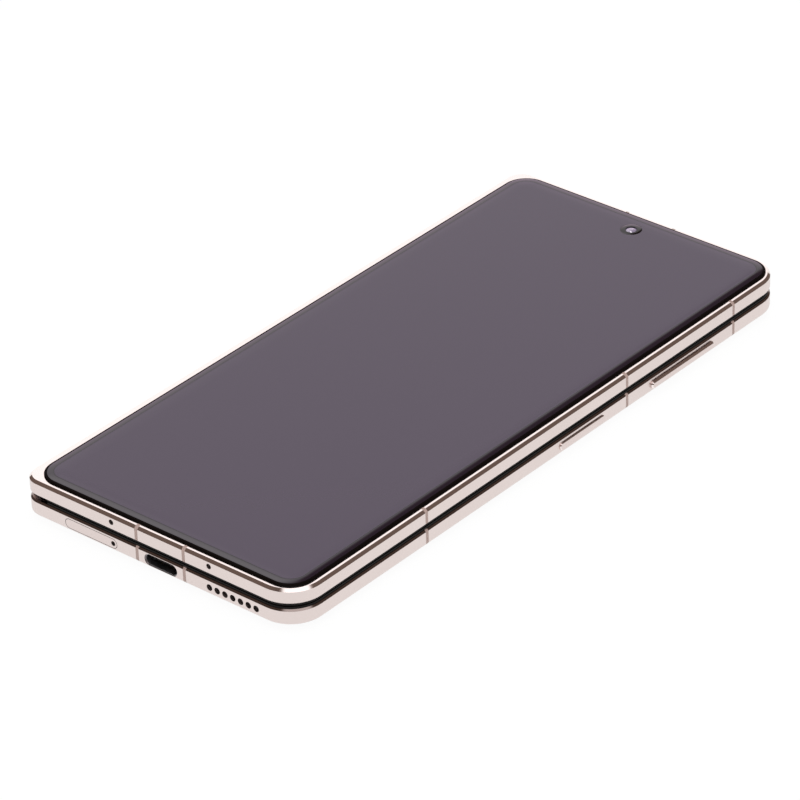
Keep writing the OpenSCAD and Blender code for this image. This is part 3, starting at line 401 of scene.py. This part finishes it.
def mottledFinish(name, colourA, colourB, patternSize, roughness, settings=None, bumpHeight=0.0):
    # two close shades and a wandering roughness, patternSize mm across: the slight unevenness of a real surface
    material, tree, shader = newMaterial(name, settings or {})
    place = inMillimetres(tree)
    mottle = addNode(tree, "ShaderNodeTexNoise", {"Scale": 1.0 / patternSize, "Detail": 4.0, "Roughness": 0.6},
                     {"Vector": place})
    tint = addNode(tree, "ShaderNodeMix", {"data_type": "RGBA", 6: linear(colourA), 7: linear(colourB)},
                   {"Factor": mottle.outputs["Fac"]})
    rough = addNode(tree, "ShaderNodeMapRange",
                    {"From Min": 0.3, "From Max": 0.7, "To Min": roughness[0], "To Max": roughness[1]},
                    {"Value": mottle.outputs["Fac"]})
    tree.links.new(tint.outputs[2], shader.inputs["Base Color"])
    tree.links.new(rough.outputs[0], shader.inputs["Roughness"])
    if bumpHeight:
        bump = addNode(tree, "ShaderNodeBump", {"Strength": 0.4, "Distance": bumpHeight * mm},
                       {"Height": mottle.outputs["Fac"]})
        tree.links.new(bump.outputs[0], shader.inputs["Normal"])
    return material


def wovenMesh(name, thread, colourThread, holePaintedShade):
    # fine steel cloth over a sound opening: threads "thread" mm apart; the holes between them are painted near
    # black, as painted shade of the cavity behind
    material, tree, shader = newMaterial(name, {"Metallic": 0.7, "Roughness": 0.45})
    place = inMillimetres(tree)
    split = addNode(tree, "ShaderNodeSeparateXYZ", None, {0: place})
    waves = []
    for axis in ("X", "Z"):
        turn = addNode(tree, "ShaderNodeMath", {"operation": "MULTIPLY", 1: 2 * math.pi / thread},
                       {0: split.outputs[axis]})
        waves.append(addNode(tree, "ShaderNodeMath", {"operation": "SINE"}, {0: turn.outputs[0]}))
    cloth = addNode(tree, "ShaderNodeMath", {"operation": "MAXIMUM"},
                    {0: waves[0].outputs[0], 1: waves[1].outputs[0]})
    shade = addNode(tree, "ShaderNodeMapRange", {"From Min": -0.2, "From Max": 0.6}, {"Value": cloth.outputs[0]})
    tint = addNode(tree, "ShaderNodeMix", {"data_type": "RGBA", 6: linear(holePaintedShade), 7: linear(colourThread)},
                   {"Factor": shade.outputs[0]})
    tree.links.new(tint.outputs[2], shader.inputs["Base Color"])
    return material


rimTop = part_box("cover_frame")[1].z / mm
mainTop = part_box("main_frame")[1].z / mm
rimHalf, gapHalf = aluminium["rimHeight"] / 2, aluminium["gapHeight"] / 2

finishes = {
    # pale champagne aluminium, blasted; the cut chamfers mirror the brown walls and look darker than the satin; the
    # cut band along the gap between the halves is coloured a darker grey, as painted shade of that gap
    "coverFrame": aluminiumFinish("champagneAluminiumCover", "#E6D9D5",
                                  rimTop + aluminium["cutMargin"] - rimHalf, rimHalf, aluminium["rimColour"]),
    # painted shade: its cut band along the gap to the cover half takes the darker gap grey
    "mainFrame": aluminiumFinish("champagneAluminiumMainShadedGap", "#E6D9D5", mainTop - gapHalf,
                                 gapHalf + aluminium["cutMargin"], aluminium["gapPaintedShade"]),
    "smallParts": aluminiumFinish("champagneAluminiumKeys", "#E4D6D2"),
    "cutEdge": aluminiumFinish("diamondCutEdge", aluminium["rimColour"], 0, aluminium["wholePart"],
                               aluminium["rimColour"]),
    "spine": aluminiumFinish("champagneAluminiumSpine", "#E2D4D0"),
    # glass-filled resin set flush in the frame's slots: matt, a shade browner than the metal
    "bands": mottledFinish("glassFilledNylonBands", "#A08A83", "#98837C", 0.6, (0.42, 0.5)),
    # acid-etched glass, colour-coated behind: soft silky highlight and no grain that the eye can pick out
    "rearGlass": mottledFinish("etchedRearGlass", "#DDCFCB", "#D9CBC7", 0.4, (0.34, 0.40),
                               {"Coat Weight": 0.25, "Coat Roughness": 0.3}),
    # polished glass printed black behind: deep black with a hard reflection
    "darkGlass": mottledFinish("blackPrintedGlass", "#0B0B0D", "#0E0E11", 3.0, (0.03, 0.06), {"IOR": 1.5}),
    # coated camera lens: nearly black, with the blue-violet bloom of its anti-reflection layers
    "lensGlass": mottledFinish("coatedLensGlass", "#0A1230", "#1A1238", 2.0, (0.02, 0.04),
                               {"Coat Weight": 1.0, "Coat Roughness": 0.0, "Coat Tint": (0.55, 0.5, 1.0, 1)}),
    # organic display behind its glass, switched off: dark lilac grey
    "coverPanel": mottledFinish("unlitDisplay", "#403647", "#3E3445", 0.3, (0.3, 0.4)),
    # black anodised camera barrels: matt, so that no light comes back from round the lens
    "cameraBody": mottledFinish("blackAnodisedBarrel", "#0B0B0C", "#101012", 0.3, (0.4, 0.5)),
    # yellow phosphor under a clear moulded lens
    "flash": mottledFinish("phosphorUnderClearLens", "#F2E2A0", "#E8D488", 0.5, (0.25, 0.35), {"Coat Weight": 1.0}),
    # green solder mask over woven glass fibre: slightly wavy and glossy
    "board": mottledFinish("greenSolderMask", "#123524", "#0F2E20", 1.0, (0.3, 0.4), {"Coat Weight": 0.4}, 0.02),
    # cold-rolled steel sheet, pressed into cans and springs
    "sheetSteel": mottledFinish("rolledSteelSheet", "#B8B8BA", "#B0B0B3", 0.5, (0.3, 0.4), {"Metallic": 1.0}),
    # laminated battery pouch: black film that wrinkles a little over the cell
    "battery": mottledFinish("laminatedPouch", "#17171A", "#1D1D20", 1.5, (0.35, 0.5), None, 0.05),
    # enamelled copper wire, wound flat: warm orange and soft
    "coil": mottledFinish("enamelledCopper", "#B56A3C", "#A85F35", 0.4, (0.3, 0.4), {"Metallic": 1.0}),
    # liquid crystal polymer, moulded: dead matt black
    "blackPlastic": mottledFinish("mouldedBlackLCP", "#090706", "#0D0A09", 0.3, (0.5, 0.6),
                                  {"Specular IOR Level": 0.25}),
    # folding display under its hard-coated film: black, glossy, the least bit uneven
    "flexDisplay": mottledFinish("foldingDisplayFilm", "#121016", "#141218", 6.0, (0.08, 0.13),
                                 {"IOR": 1.5, "Coat Weight": 0.4, "Coat Roughness": 0.04}),
    # soft moulded surround of the folding display
    "bezel": mottledFinish("mouldedBezelElastomer", "#060403", "#080504", 0.4, (0.5, 0.6),
                           {"Specular IOR Level": 0.2}),
    # blackened steel screws: dark grey, a little worn
    "screwSteel": mottledFinish("blackOxideSteel", "#77777B", "#6E6E72", 0.3, (0.3, 0.4), {"Metallic": 1.0}),
    # metal injection moulded steel: grey, evenly dull
    "hingeSteel": mottledFinish("sinteredSteel", "#9A9A9C", "#8F8F92", 0.3, (0.32, 0.42), {"Metallic": 1.0}),
    # ground hinge pins: bright and nearly smooth
    "pinSteel": mottledFinish("centrelessGroundPin", "#C8C8CB", "#C0C0C4", 0.5, (0.15, 0.22), {"Metallic": 1.0}),
    # sintered gears: a trace of oil makes the grey yellower
    "gearSteel": mottledFinish("sinteredGearSteel", "#A8A49A", "#9F9B92", 0.3, (0.3, 0.4), {"Metallic": 1.0}),
    # gold over nickel on the contacts of the socket
    "gold": mottledFinish("hardGoldPlate", "#C79A4A", "#BD8F40", 0.2, (0.2, 0.28), {"Metallic": 1.0}),
    # steel cloth over the sound openings: threads 0.16 mm apart, nearly black, with painted shade in the holes
    # between them
    "soundMesh": wovenMesh("wovenSteelCloth", 0.16, "#24211F", "#050404"),
    # laminated cover glass over the unlit display: the lilac grey comes from the panel, the gloss from the glass
    "display": mottledFinish("displayUnderGlass", "#2F2236", "#302337", 2.0, (0.0, 0.012), {"IOR": 1.5}),
    # painted shade at the ground edge of the glass: a matte near-black line with almost no reflection, standing in
    # for the shadow in the gap between the glass and the rim
    "glassEdgePaintedShade": mottledFinish("paintedShadeAtGlassEdge", "#0B0706", "#0D0807", 0.5, (0.4, 0.5), {"IOR": 1.08}),
    # border printed behind the glass: a dark that still carries the gloss of the glass
    "ink": mottledFinish("darkInkUnderGlass", "#1A121C", "#1B131D", 2.0, (0.0, 0.012), {"IOR": 1.5}),
    # black mask round the cover camera: darker than the ink, with a weaker reflection
    "cameraRing": mottledFinish("blackCameraRing", "#0A0609", "#0B070A", 2.0, (0.02, 0.04),
                                {"IOR": 1.5, "Specular IOR Level": 0.36}),
    # coated lens of the cover camera: its pale violet grey base is painted reflection, standing in for the pale
    # light that the lens mirrors, under a hard shine
    "cameraWindow": mottledFinish("coverLensPaintedReflection", "#857A90", "#80758B", 1.0, (0.0, 0.01),
                                  {"IOR": 1.6, "Coat Weight": 1.0, "Coat Roughness": 0.0}),
}

slotFinish = {
    "satin_frame": "smallParts", "satin_spine": "spine", "band_plastic": "bands", "rear_glass": "rearGlass",
    "dark_glass": "darkGlass", "lens_glass": "lensGlass", "cover_glass": "darkGlass", "camera_body": "cameraBody",
    "led_plastic": "flash", "board": "board", "sheet_steel": "sheetSteel", "battery_foil": "battery",
    "coil": "coil", "black_plastic": "blackPlastic", "flex_display": "flexDisplay", "bezel_rubber": "bezel",
    "screw_steel": "screwSteel", "display_panel": "coverPanel", "hinge_steel": "hingeSteel", "pin_steel": "pinSteel",
    "spring_steel": "hingeSteel", "gear_steel": "gearSteel",
}
for name, obj in nodes.items():
    slotName = obj.material_slots[0].material.name.split(".")[0]
    obj.material_slots[0].material = finishes[slotFinish[slotName]]
nodes["cover_frame"].material_slots[0].material = finishes["coverFrame"]
nodes["main_frame"].material_slots[0].material = finishes["mainFrame"]
print("finishes made:", len(finishes))


glass = {
    "inset": 0.02,  # clearance in its seat
    "side": 0.076,  # straight wall at the edge
    "cornerRadius": 5.5,
    # steps inwards and upwards, in mm, from the ground edge to the flat middle
    "roll": [(0.06, 0.06), (0.10, 0.05), (0.18, 0.065), (0.30, 0.065), (0.45, 0.065),
             (0.6, 0.062), (0.8, 0.05), (1.0, 0.035), (1.3, 0.02)],
    "edgeShadeWidth": 0.6,  # painted shade: a matte black line at the edge, for the shadow in the gap to the rim
    "border": 1.95,  # printed black border
    "gapLine": 0.13,  # black line between the ink and the lit area
    "lineMargin": 0.02,  # a face is sorted by its middle, which lies this far inside its own strip at least
    "cameraHole": 4.8,  # diameters
    "lens": 2.55,
    "cameraPlace": (0.475, 72.6),
    "windowDeep": 0.34,  # back of the camera window, below the top of the glass
    "windowWall": 0.315,
    "windowGap": 0.03,  # round the window, in its hole
    # its steps inwards and upwards: the edge, the drop to the lens and the dome
    "windowEdge": (0.05, 0.02),
    "lensSink": (0.04, -0.22),
    "lensDome": ((0.1, 0.042), (0.5, 0.14), (0.25, 0.03), (0.2, 0.01), (0.1, 0.002)),
    "lensMargin": 0.03,
}


def roundedPlate(name, low, high, z, radius, segments=20):
    # a flat plate outline with round corners, as one face, ready to be extruded or inset
    deselectEverything()
    middle = ((low[0] + high[0]) / 2, (low[1] + high[1]) / 2, z)
    bpy.ops.mesh.primitive_plane_add(size=1, location=middle)
    plate = nameActive(name)
    plate.scale = (high[0] - low[0], high[1] - low[1], 1)
    bpy.ops.object.transform_apply(location=True, rotation=True, scale=True)
    bpy.ops.object.mode_set(mode="EDIT")
    bpy.ops.mesh.select_all(action="SELECT")
    bpy.ops.mesh.bevel(offset=radius, offset_type="OFFSET", segments=segments, affect="VERTICES")
    return plate


def makeCoverGlass():
    low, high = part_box("cover_glass")
    gap = glass["inset"] * mm
    plate = roundedPlate("coverGlass", (low.x + gap, low.y + gap), (high.x - gap, high.y - gap),
                         low.z, glass["cornerRadius"] * mm - gap)
    bpy.ops.mesh.select_all(action="SELECT")
    bpy.ops.mesh.extrude_region_move(TRANSFORM_OT_translate={"value": (0, 0, glass["side"] * mm)})
    done = 0
    for inward, upward in glass["roll"]:
        if done < glass["border"] < done + inward:  # one more step where the ink ends
            share = (glass["border"] - done) / inward
            bpy.ops.mesh.inset(thickness=inward * share * mm, depth=upward * share * mm)
            bpy.ops.mesh.inset(thickness=glass["gapLine"] * mm, depth=0)
            inward, upward, done = inward * (1 - share), upward * (1 - share), glass["border"]
        bpy.ops.mesh.inset(thickness=inward * mm, depth=upward * mm)
        done += inward
    settle(plate, 60)
    x, y = glass["cameraPlace"]
    deselectEverything()
    bpy.ops.mesh.primitive_cylinder_add(vertices=96, radius=glass["cameraHole"] / 2 * mm, depth=0.7 * mm,
                                        location=(x * mm, y * mm, high.z))
    drill = nameActive("cameraHoleDrill")
    activate(plate)
    bore = plate.modifiers.new("cameraHole", "BOOLEAN")
    bore.object = drill
    bore.solver = "EXACT"
    settle(plate, 60)
    bpy.data.objects.remove(drill, do_unlink=True)
    finishPiece(plate, "cover_half", "cover_glass", finishes["ink"], finishes["display"],
                finishes["cameraRing"], finishes["glassEdgePaintedShade"])
    for face in plate.data.polygons:
        edgeX = min(face.center.x - low.x, high.x - face.center.x)
        edgeY = min(face.center.y - low.y, high.y - face.center.y)
        corner = glass["cornerRadius"] * mm
        if edgeX < corner and edgeY < corner:
            away = corner - math.hypot(corner - edgeX, corner - edgeY)
        else:
            away = min(edgeX, edgeY)
        # painted shade: faces this near the edge take the near-black edge finish
        if away < glass["edgeShadeWidth"] * mm:
            face.material_index = 3
        lineStart = glass["border"] + glass["lineMargin"]
        lineEnd = glass["border"] + glass["gapLine"] - glass["lineMargin"]
        if face.normal.z > 0.5 and away > lineStart * mm:
            face.material_index = 2 if away < lineEnd * mm else 1
    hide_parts("cover_glass")
    return plate


def makeCameraWindow():
    # black ring and the coated lens dome in the middle of it, flush in the cover glass
    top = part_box("cover_glass")[1].z
    x, y = glass["cameraPlace"]
    radius = glass["cameraHole"] / 2 - glass["windowGap"]
    edge, lens = glass["windowEdge"], glass["lens"] / 2
    deselectEverything()
    bpy.ops.mesh.primitive_circle_add(vertices=96, radius=radius * mm, fill_type="NGON",
                                      location=(x * mm, y * mm, top - glass["windowDeep"] * mm))
    window = nameActive("coverCameraWindow")
    bpy.ops.object.mode_set(mode="EDIT")
    bpy.ops.mesh.select_all(action="SELECT")
    bpy.ops.mesh.extrude_region_move(TRANSFORM_OT_translate={"value": (0, 0, glass["windowWall"] * mm)})
    for inward, upward in (edge, (radius - edge[0] - lens, 0), glass["lensSink"], *glass["lensDome"]):
        bpy.ops.mesh.inset(thickness=inward * mm, depth=upward * mm)
    settle(window, 30)
    finishPiece(window, "cover_half", "lens_glass", finishes["cameraRing"], finishes["cameraWindow"])
    for face in window.data.polygons:
        away = math.hypot(face.center.x / mm - x, face.center.y / mm - y)
        # painted reflection: the lens faces take the pale violet grey finish
        face.material_index = int(away < lens - glass["lensMargin"] and face.normal.z > 0.5)
    return window


makeCoverGlass()
makeCameraWindow()
print("cover glass and camera window made")


keys = {
    "power": {"node": "power_key", "body": "power_key_body", "chamfer": 0.15},
    "rocker": {"node": "volume_rocker", "body": "volume_rocker_body", "chamfer": 0.32},
    "endRadius": 0.84,  # half the height of a key
    "capDepth": 1.25,  # the part that fills the slot; its share of a shallow key is capShare
    "capShare": 0.6,
    "shankInset": 0.3,  # the part behind it is this much smaller all round
}


def makeKey(name, spec):
    # a bar with round ends, a cut chamfer round its outer face and a smaller shank behind it
    low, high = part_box(spec["node"])
    cap = min(keys["capDepth"] * mm, (high.x - low.x) * keys["capShare"])
    chamfer = spec["chamfer"] * mm
    deselectEverything()
    bpy.ops.mesh.primitive_cube_add(size=1, location=(high.x - (cap + chamfer) / 2, (low.y + high.y) / 2,
                                                      (low.z + high.z) / 2))
    key = nameActive(name)
    key.scale = (cap - chamfer, high.y - low.y, high.z - low.z)
    bpy.ops.object.transform_apply(location=True, rotation=True, scale=True)
    selectEdges(key, lambda a, b: abs(a.x - b.x) > 0.1 * mm)
    bpy.ops.mesh.bevel(offset=keys["endRadius"] * mm, offset_type="OFFSET", segments=12, affect="EDGES")
    selectFaces(key, lambda middle, normal: normal.x > 0.9)
    bpy.ops.mesh.inset(thickness=chamfer, depth=chamfer)
    selectFaces(key, lambda middle, normal: normal.x < -0.9)
    bpy.ops.mesh.inset(thickness=keys["shankInset"] * mm, depth=0)
    bpy.ops.mesh.extrude_region_move(TRANSFORM_OT_translate={"value": (low.x - (high.x - cap), 0, 0)})
    settle(key, 30)
    finishPiece(key, spec["body"], "satin_frame", finishes["smallParts"], finishes["cutEdge"])
    for face in key.data.polygons:
        face.material_index = int(0.3 < face.normal.x < 0.95)
    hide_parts(spec["node"])
    return key


foldDisplay = {
    "start": (-23.325, 5.2),  # where the display leaves its plate, mm
    "loopCentre": (-31.775, 5.81),
    "loopRadius": 2.0,
    "halfWidth": 77.0,
    "thickness": 0.38,
    "middle": 5.81,  # height of the plane between the halves
    "strips": 15,  # cuts across the flat stretch, and steps round the loop
    "loopSteps": 28,
}


def makeFoldHalf(name, mirrored):
    # flat sheet from its plate down to the loop, then round the loop to its far end
    x, z = foldDisplay["start"]
    cx, cz = foldDisplay["loopCentre"]
    radius = foldDisplay["loopRadius"]
    reach = math.hypot(cx - x, cz - z)
    slope = math.asin(radius / reach) - math.atan2(cz - z, x - cx)
    length = math.sqrt(reach ** 2 - radius ** 2)
    tangent = (x - length * math.cos(slope), z - length * math.sin(slope))
    deselectEverything()
    bpy.ops.mesh.primitive_plane_add(size=1, location=((x + tangent[0]) / 2 * mm, 0, (z + tangent[1]) / 2 * mm))
    sheet = nameActive(name)
    sheet.scale = (length * mm, 2 * foldDisplay["halfWidth"] * mm, 1)
    sheet.rotation_euler = (0, -slope, 0)
    bpy.ops.object.transform_apply(location=True, rotation=True, scale=True)
    bpy.ops.object.mode_set(mode="EDIT")
    bpy.ops.mesh.select_all(action="SELECT")
    bpy.ops.mesh.subdivide(number_cuts=foldDisplay["strips"])
    selectEdges(sheet, lambda a, b: max(a.x, b.x) < tangent[0] * mm + 1e-6)
    turn = math.pi / 2 + slope
    bpy.ops.mesh.spin(steps=foldDisplay["loopSteps"], angle=-turn, center=(cx * mm, 0, cz * mm), axis=(0, 1, 0))
    bpy.ops.object.mode_set(mode="OBJECT")
    wall = sheet.modifiers.new("film", "SOLIDIFY")
    wall.thickness = foldDisplay["thickness"] * mm
    wall.offset = 0
    settle(sheet, 40)
    if mirrored:
        activate(sheet)
        bpy.ops.object.mode_set(mode="EDIT")
        bpy.ops.mesh.select_all(action="SELECT")
        bpy.ops.transform.mirror(constraint_axis=(False, False, True),
                                 center_override=(0, 0, foldDisplay["middle"] * mm))
        settle(sheet, 40)
    return sheet


def makeFoldDisplay():
    lower = makeFoldHalf("foldDisplayLower", False)
    lower.data.materials.append(finishes["flexDisplay"])
    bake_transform(lower)
    upper = makeFoldHalf("foldDisplayUpper", True)
    upper.data.materials.append(finishes["flexDisplay"])
    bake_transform(upper)
    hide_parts("fold_flex")


sound = {
    "holes": [(13.675 + 2.03 * i, 3.35) for i in range(7)],
    "microphones": [(-12.225, 8.32), (13.775, 8.32)],
    "holeRadius": 0.70,
    "micRadius": 0.58,
    "depth": 0.75,  # how far inside the hole its mesh sits
    "fold": 0.12,  # depth of the folded rim
    "seat": (0.08, -0.05),
    "bulge": ((0.15, 0.03), (0.15, 0.02), (0.15, 0.01)),
}


def makeMeshDisc(name, x, z, radius, body):
    # slightly bulged cloth disc with a folded rim, as pressed into a sound hole
    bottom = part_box("main_frame")[0].y
    deselectEverything()
    bpy.ops.mesh.primitive_circle_add(vertices=32, radius=radius * mm, fill_type="NGON",
                                      location=(x * mm, bottom + sound["depth"] * mm, z * mm),
                                      rotation=(math.pi / 2, 0, 0))
    disc = nameActive(name)
    bpy.ops.object.transform_apply(location=True, rotation=True, scale=True)
    bpy.ops.object.mode_set(mode="EDIT")
    bpy.ops.mesh.select_all(action="SELECT")
    bpy.ops.mesh.extrude_region_move(TRANSFORM_OT_translate={"value": (0, -sound["fold"] * mm, 0)})
    for inward, outward in (sound["seat"], *sound["bulge"]):
        bpy.ops.mesh.inset(thickness=inward * mm, depth=outward * mm)
    settle(disc, 30)
    return finishPiece(disc, body, "sheet_steel", finishes["soundMesh"])


def makeSoundMeshes():
    firstX, firstZ = sound["holes"][0]
    first = makeMeshDisc("speakerMesh1", firstX, firstZ, sound["holeRadius"], "main_half")
    for number, (x, z) in enumerate(sound["holes"][1:], 2):
        twin = copyTo(first, f"speakerMesh{number}", (x - firstX, 0, z - firstZ))
        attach(twin, "main_half")
    for number, (x, z) in enumerate(sound["microphones"], 1):
        makeMeshDisc(f"microphoneMesh{number}", x, z, sound["micRadius"], "cover_half")


socket = {
    "middle": 0.775,
    "contacts": 12,  # on each face of the tongue
    "pitch": 0.5,
    "width": 0.25,
    "length": 2.6,
    "front": 1.2,  # how far behind the tongue's tip they start
    "thickness": 0.06,  # half of it sunk into the tongue
    "softEdge": 0.025,
}


def makeContacts():
    # gold strips on the upper and lower face of the tongue
    low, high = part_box("usb_tongue")
    start = low.y + socket["front"] * mm
    for side, z, up in (("Upper", high.z, 1), ("Lower", low.z, -1)):
        x = socket["middle"] - socket["pitch"] * (socket["contacts"] - 1) / 2
        deselectEverything()
        bpy.ops.mesh.primitive_cube_add(size=1, location=(x * mm, start + socket["length"] / 2 * mm, z))
        strip = nameActive(f"contact{side}1")
        strip.scale = (socket["width"] * mm, socket["length"] * mm, socket["thickness"] * mm)
        bpy.ops.object.transform_apply(location=True, rotation=True, scale=True)
        selectEdges(strip, lambda a, b: min(a.z * up, b.z * up) > z * up)
        bpy.ops.mesh.bevel(offset=socket["softEdge"] * mm, segments=3, affect="EDGES")
        settle(strip, 40)
        finishPiece(strip, "main_half", "pin_steel", finishes["gold"])
        for number in range(1, socket["contacts"]):
            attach(copyTo(strip, f"contact{side}{number + 1}", (number * socket["pitch"], 0, 0)), "main_half")


makeKey("powerKey", keys["power"])
makeKey("volumeRocker", keys["rocker"])
print("keys made")
makeFoldDisplay()
print("folding display made")
makeSoundMeshes()
makeContacts()
print("sound meshes and contacts made")


rearCameras = {
    "middle": (1.175, 48.0),
    "glassRadius": 17.83,
    "pitch": 9.2,  # from the middle of the island to each camera
    # direction in degrees, radius of the window and of the lens in it
    "windows": {"wide": (90, 4.7, 2.7), "ultrawide": (210, 4.3, 2.0), "tele": (330, 4.5, 2.35)},
    "ring": 0.38,  # width of the metal ring round each window
    "flash": 1.9,
    "depth": 0.52,
    "windowGap": 0.02,  # round a window, in its hole
    "softEdge": 0.18,
    # insets over the lens, as shares of its radius, and how far each stands out, in mm
    "dome": ((0.12, 0.09), (0.14, 0.08), (0.16, 0.06), (0.18, 0.04), (0.18, 0.015)),
    # the flash: its rim, then six rings
    "flashSteps": [(0.12, 0.005), (0.05, -0.1)] + [(0.14, 0.05), (0.06, -0.05)] * 6,
    "flashRim": 0.2,
    "faceSink": 0.01,  # how far the windows lie below the glass round them
    "ringMargin": 0.03,  # faces are sorted into ring, barrel and lens by their distance from the middle
    "lensMargin": 0.02,
}


def makeRearWindow(name, x, y, radius, steps):
    # a round plug in the island's glass that faces down; steps are its insets and how far each stands out, mm
    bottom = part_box("camera_glass")[0].z
    deselectEverything()
    bpy.ops.mesh.primitive_circle_add(vertices=72, radius=(radius - rearCameras["windowGap"]) * mm,
                                      fill_type="NGON",
                                      location=(x * mm, y * mm, bottom + rearCameras["depth"] * mm),
                                      rotation=(math.pi, 0, 0))
    window = nameActive(name)
    bpy.ops.object.transform_apply(location=True, rotation=True, scale=True)
    bpy.ops.object.mode_set(mode="EDIT")
    bpy.ops.mesh.select_all(action="SELECT")
    bpy.ops.mesh.extrude_region_move(TRANSFORM_OT_translate={
        "value": (0, 0, (rearCameras["faceSink"] - rearCameras["depth"]) * mm)})
    for inward, outward in steps:
        bpy.ops.mesh.inset(thickness=inward * mm, depth=outward * mm)
    return settle(window, 30)


def makeRearCameras():
    low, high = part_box("camera_glass")
    cx, cy = rearCameras["middle"]
    deselectEverything()
    bpy.ops.mesh.primitive_cylinder_add(vertices=160, radius=rearCameras["glassRadius"] * mm, depth=high.z - low.z,
                                        location=(cx * mm, cy * mm, (high.z + low.z) / 2))
    plate = nameActive("rearCameraGlass")
    bpy.ops.object.transform_apply(location=True, rotation=True, scale=True)
    selectEdges(plate, lambda a, b: max(a.z, b.z) < low.z + 1e-6)
    bpy.ops.mesh.bevel(offset=rearCameras["softEdge"] * mm, segments=4, affect="EDGES")
    bpy.ops.object.mode_set(mode="OBJECT")
    places = {"flash": (cx, cy, rearCameras["flash"])}
    for name, (angle, radius, lens) in rearCameras["windows"].items():
        turn = math.radians(angle)
        away = rearCameras["pitch"]
        places[name] = (cx + away * math.cos(turn), cy + away * math.sin(turn), radius)
    for name, (x, y, radius) in places.items():
        deselectEverything()
        bpy.ops.mesh.primitive_cylinder_add(vertices=72, radius=radius * mm, depth=2 * mm,
                                            location=(x * mm, y * mm, low.z))
        drill = nameActive(name + "Drill")
        activate(plate)
        bore = plate.modifiers.new(name, "BOOLEAN")
        bore.object = drill
        bore.solver = "EXACT"
        bpy.ops.object.modifier_apply(modifier=bore.name)
        bpy.data.objects.remove(drill, do_unlink=True)
    settle(plate, 30)
    finishPiece(plate, "main_half", "dark_glass", finishes["darkGlass"])
    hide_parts("camera_glass")

    for name, (angle, radius, lens) in rearCameras["windows"].items():
        x, y = places[name][:2]
        ring = rearCameras["ring"]
        baffle = (radius - rearCameras["windowGap"] - ring - lens) / 2  # width of each ring of the barrel
        # the ring, its step down, two rings of the barrel and the well round the lens, then the lens
        steps = [(0.05, 0.01), (ring - 0.1, 0), (0.05, -0.06), (0.02, -0.12), (baffle, -0.02), (0.03, -0.1),
                 (baffle - 0.05, -0.02), (0.04, -0.14)]
        steps += [(lens * share, outward) for share, outward in rearCameras["dome"]]
        window = makeRearWindow(name + "CameraWindow", x, y, radius, steps)
        finishPiece(window, "main_half", "lens_glass", finishes["smallParts"], finishes["cameraBody"],
                    finishes["lensGlass"])
        for face in window.data.polygons:
            away = math.hypot(face.center.x / mm - x, face.center.y / mm - y)
            onRing = away > radius - ring - rearCameras["ringMargin"]
            onLens = away < lens - rearCameras["lensMargin"]
            face.material_index = 0 if onRing else 2 if onLens else 1

    x, y = places["flash"][:2]
    flash = makeRearWindow("flashWindow", x, y, rearCameras["flash"], rearCameras["flashSteps"])
    finishPiece(flash, "main_half", "led_plastic", finishes["cameraBody"], finishes["flash"])
    for face in flash.data.polygons:
        away = math.hypot(face.center.x / mm - x, face.center.y / mm - y)
        face.material_index = int(away < rearCameras["flash"] - rearCameras["flashRim"])


makeRearCameras()
print("rear cameras made")
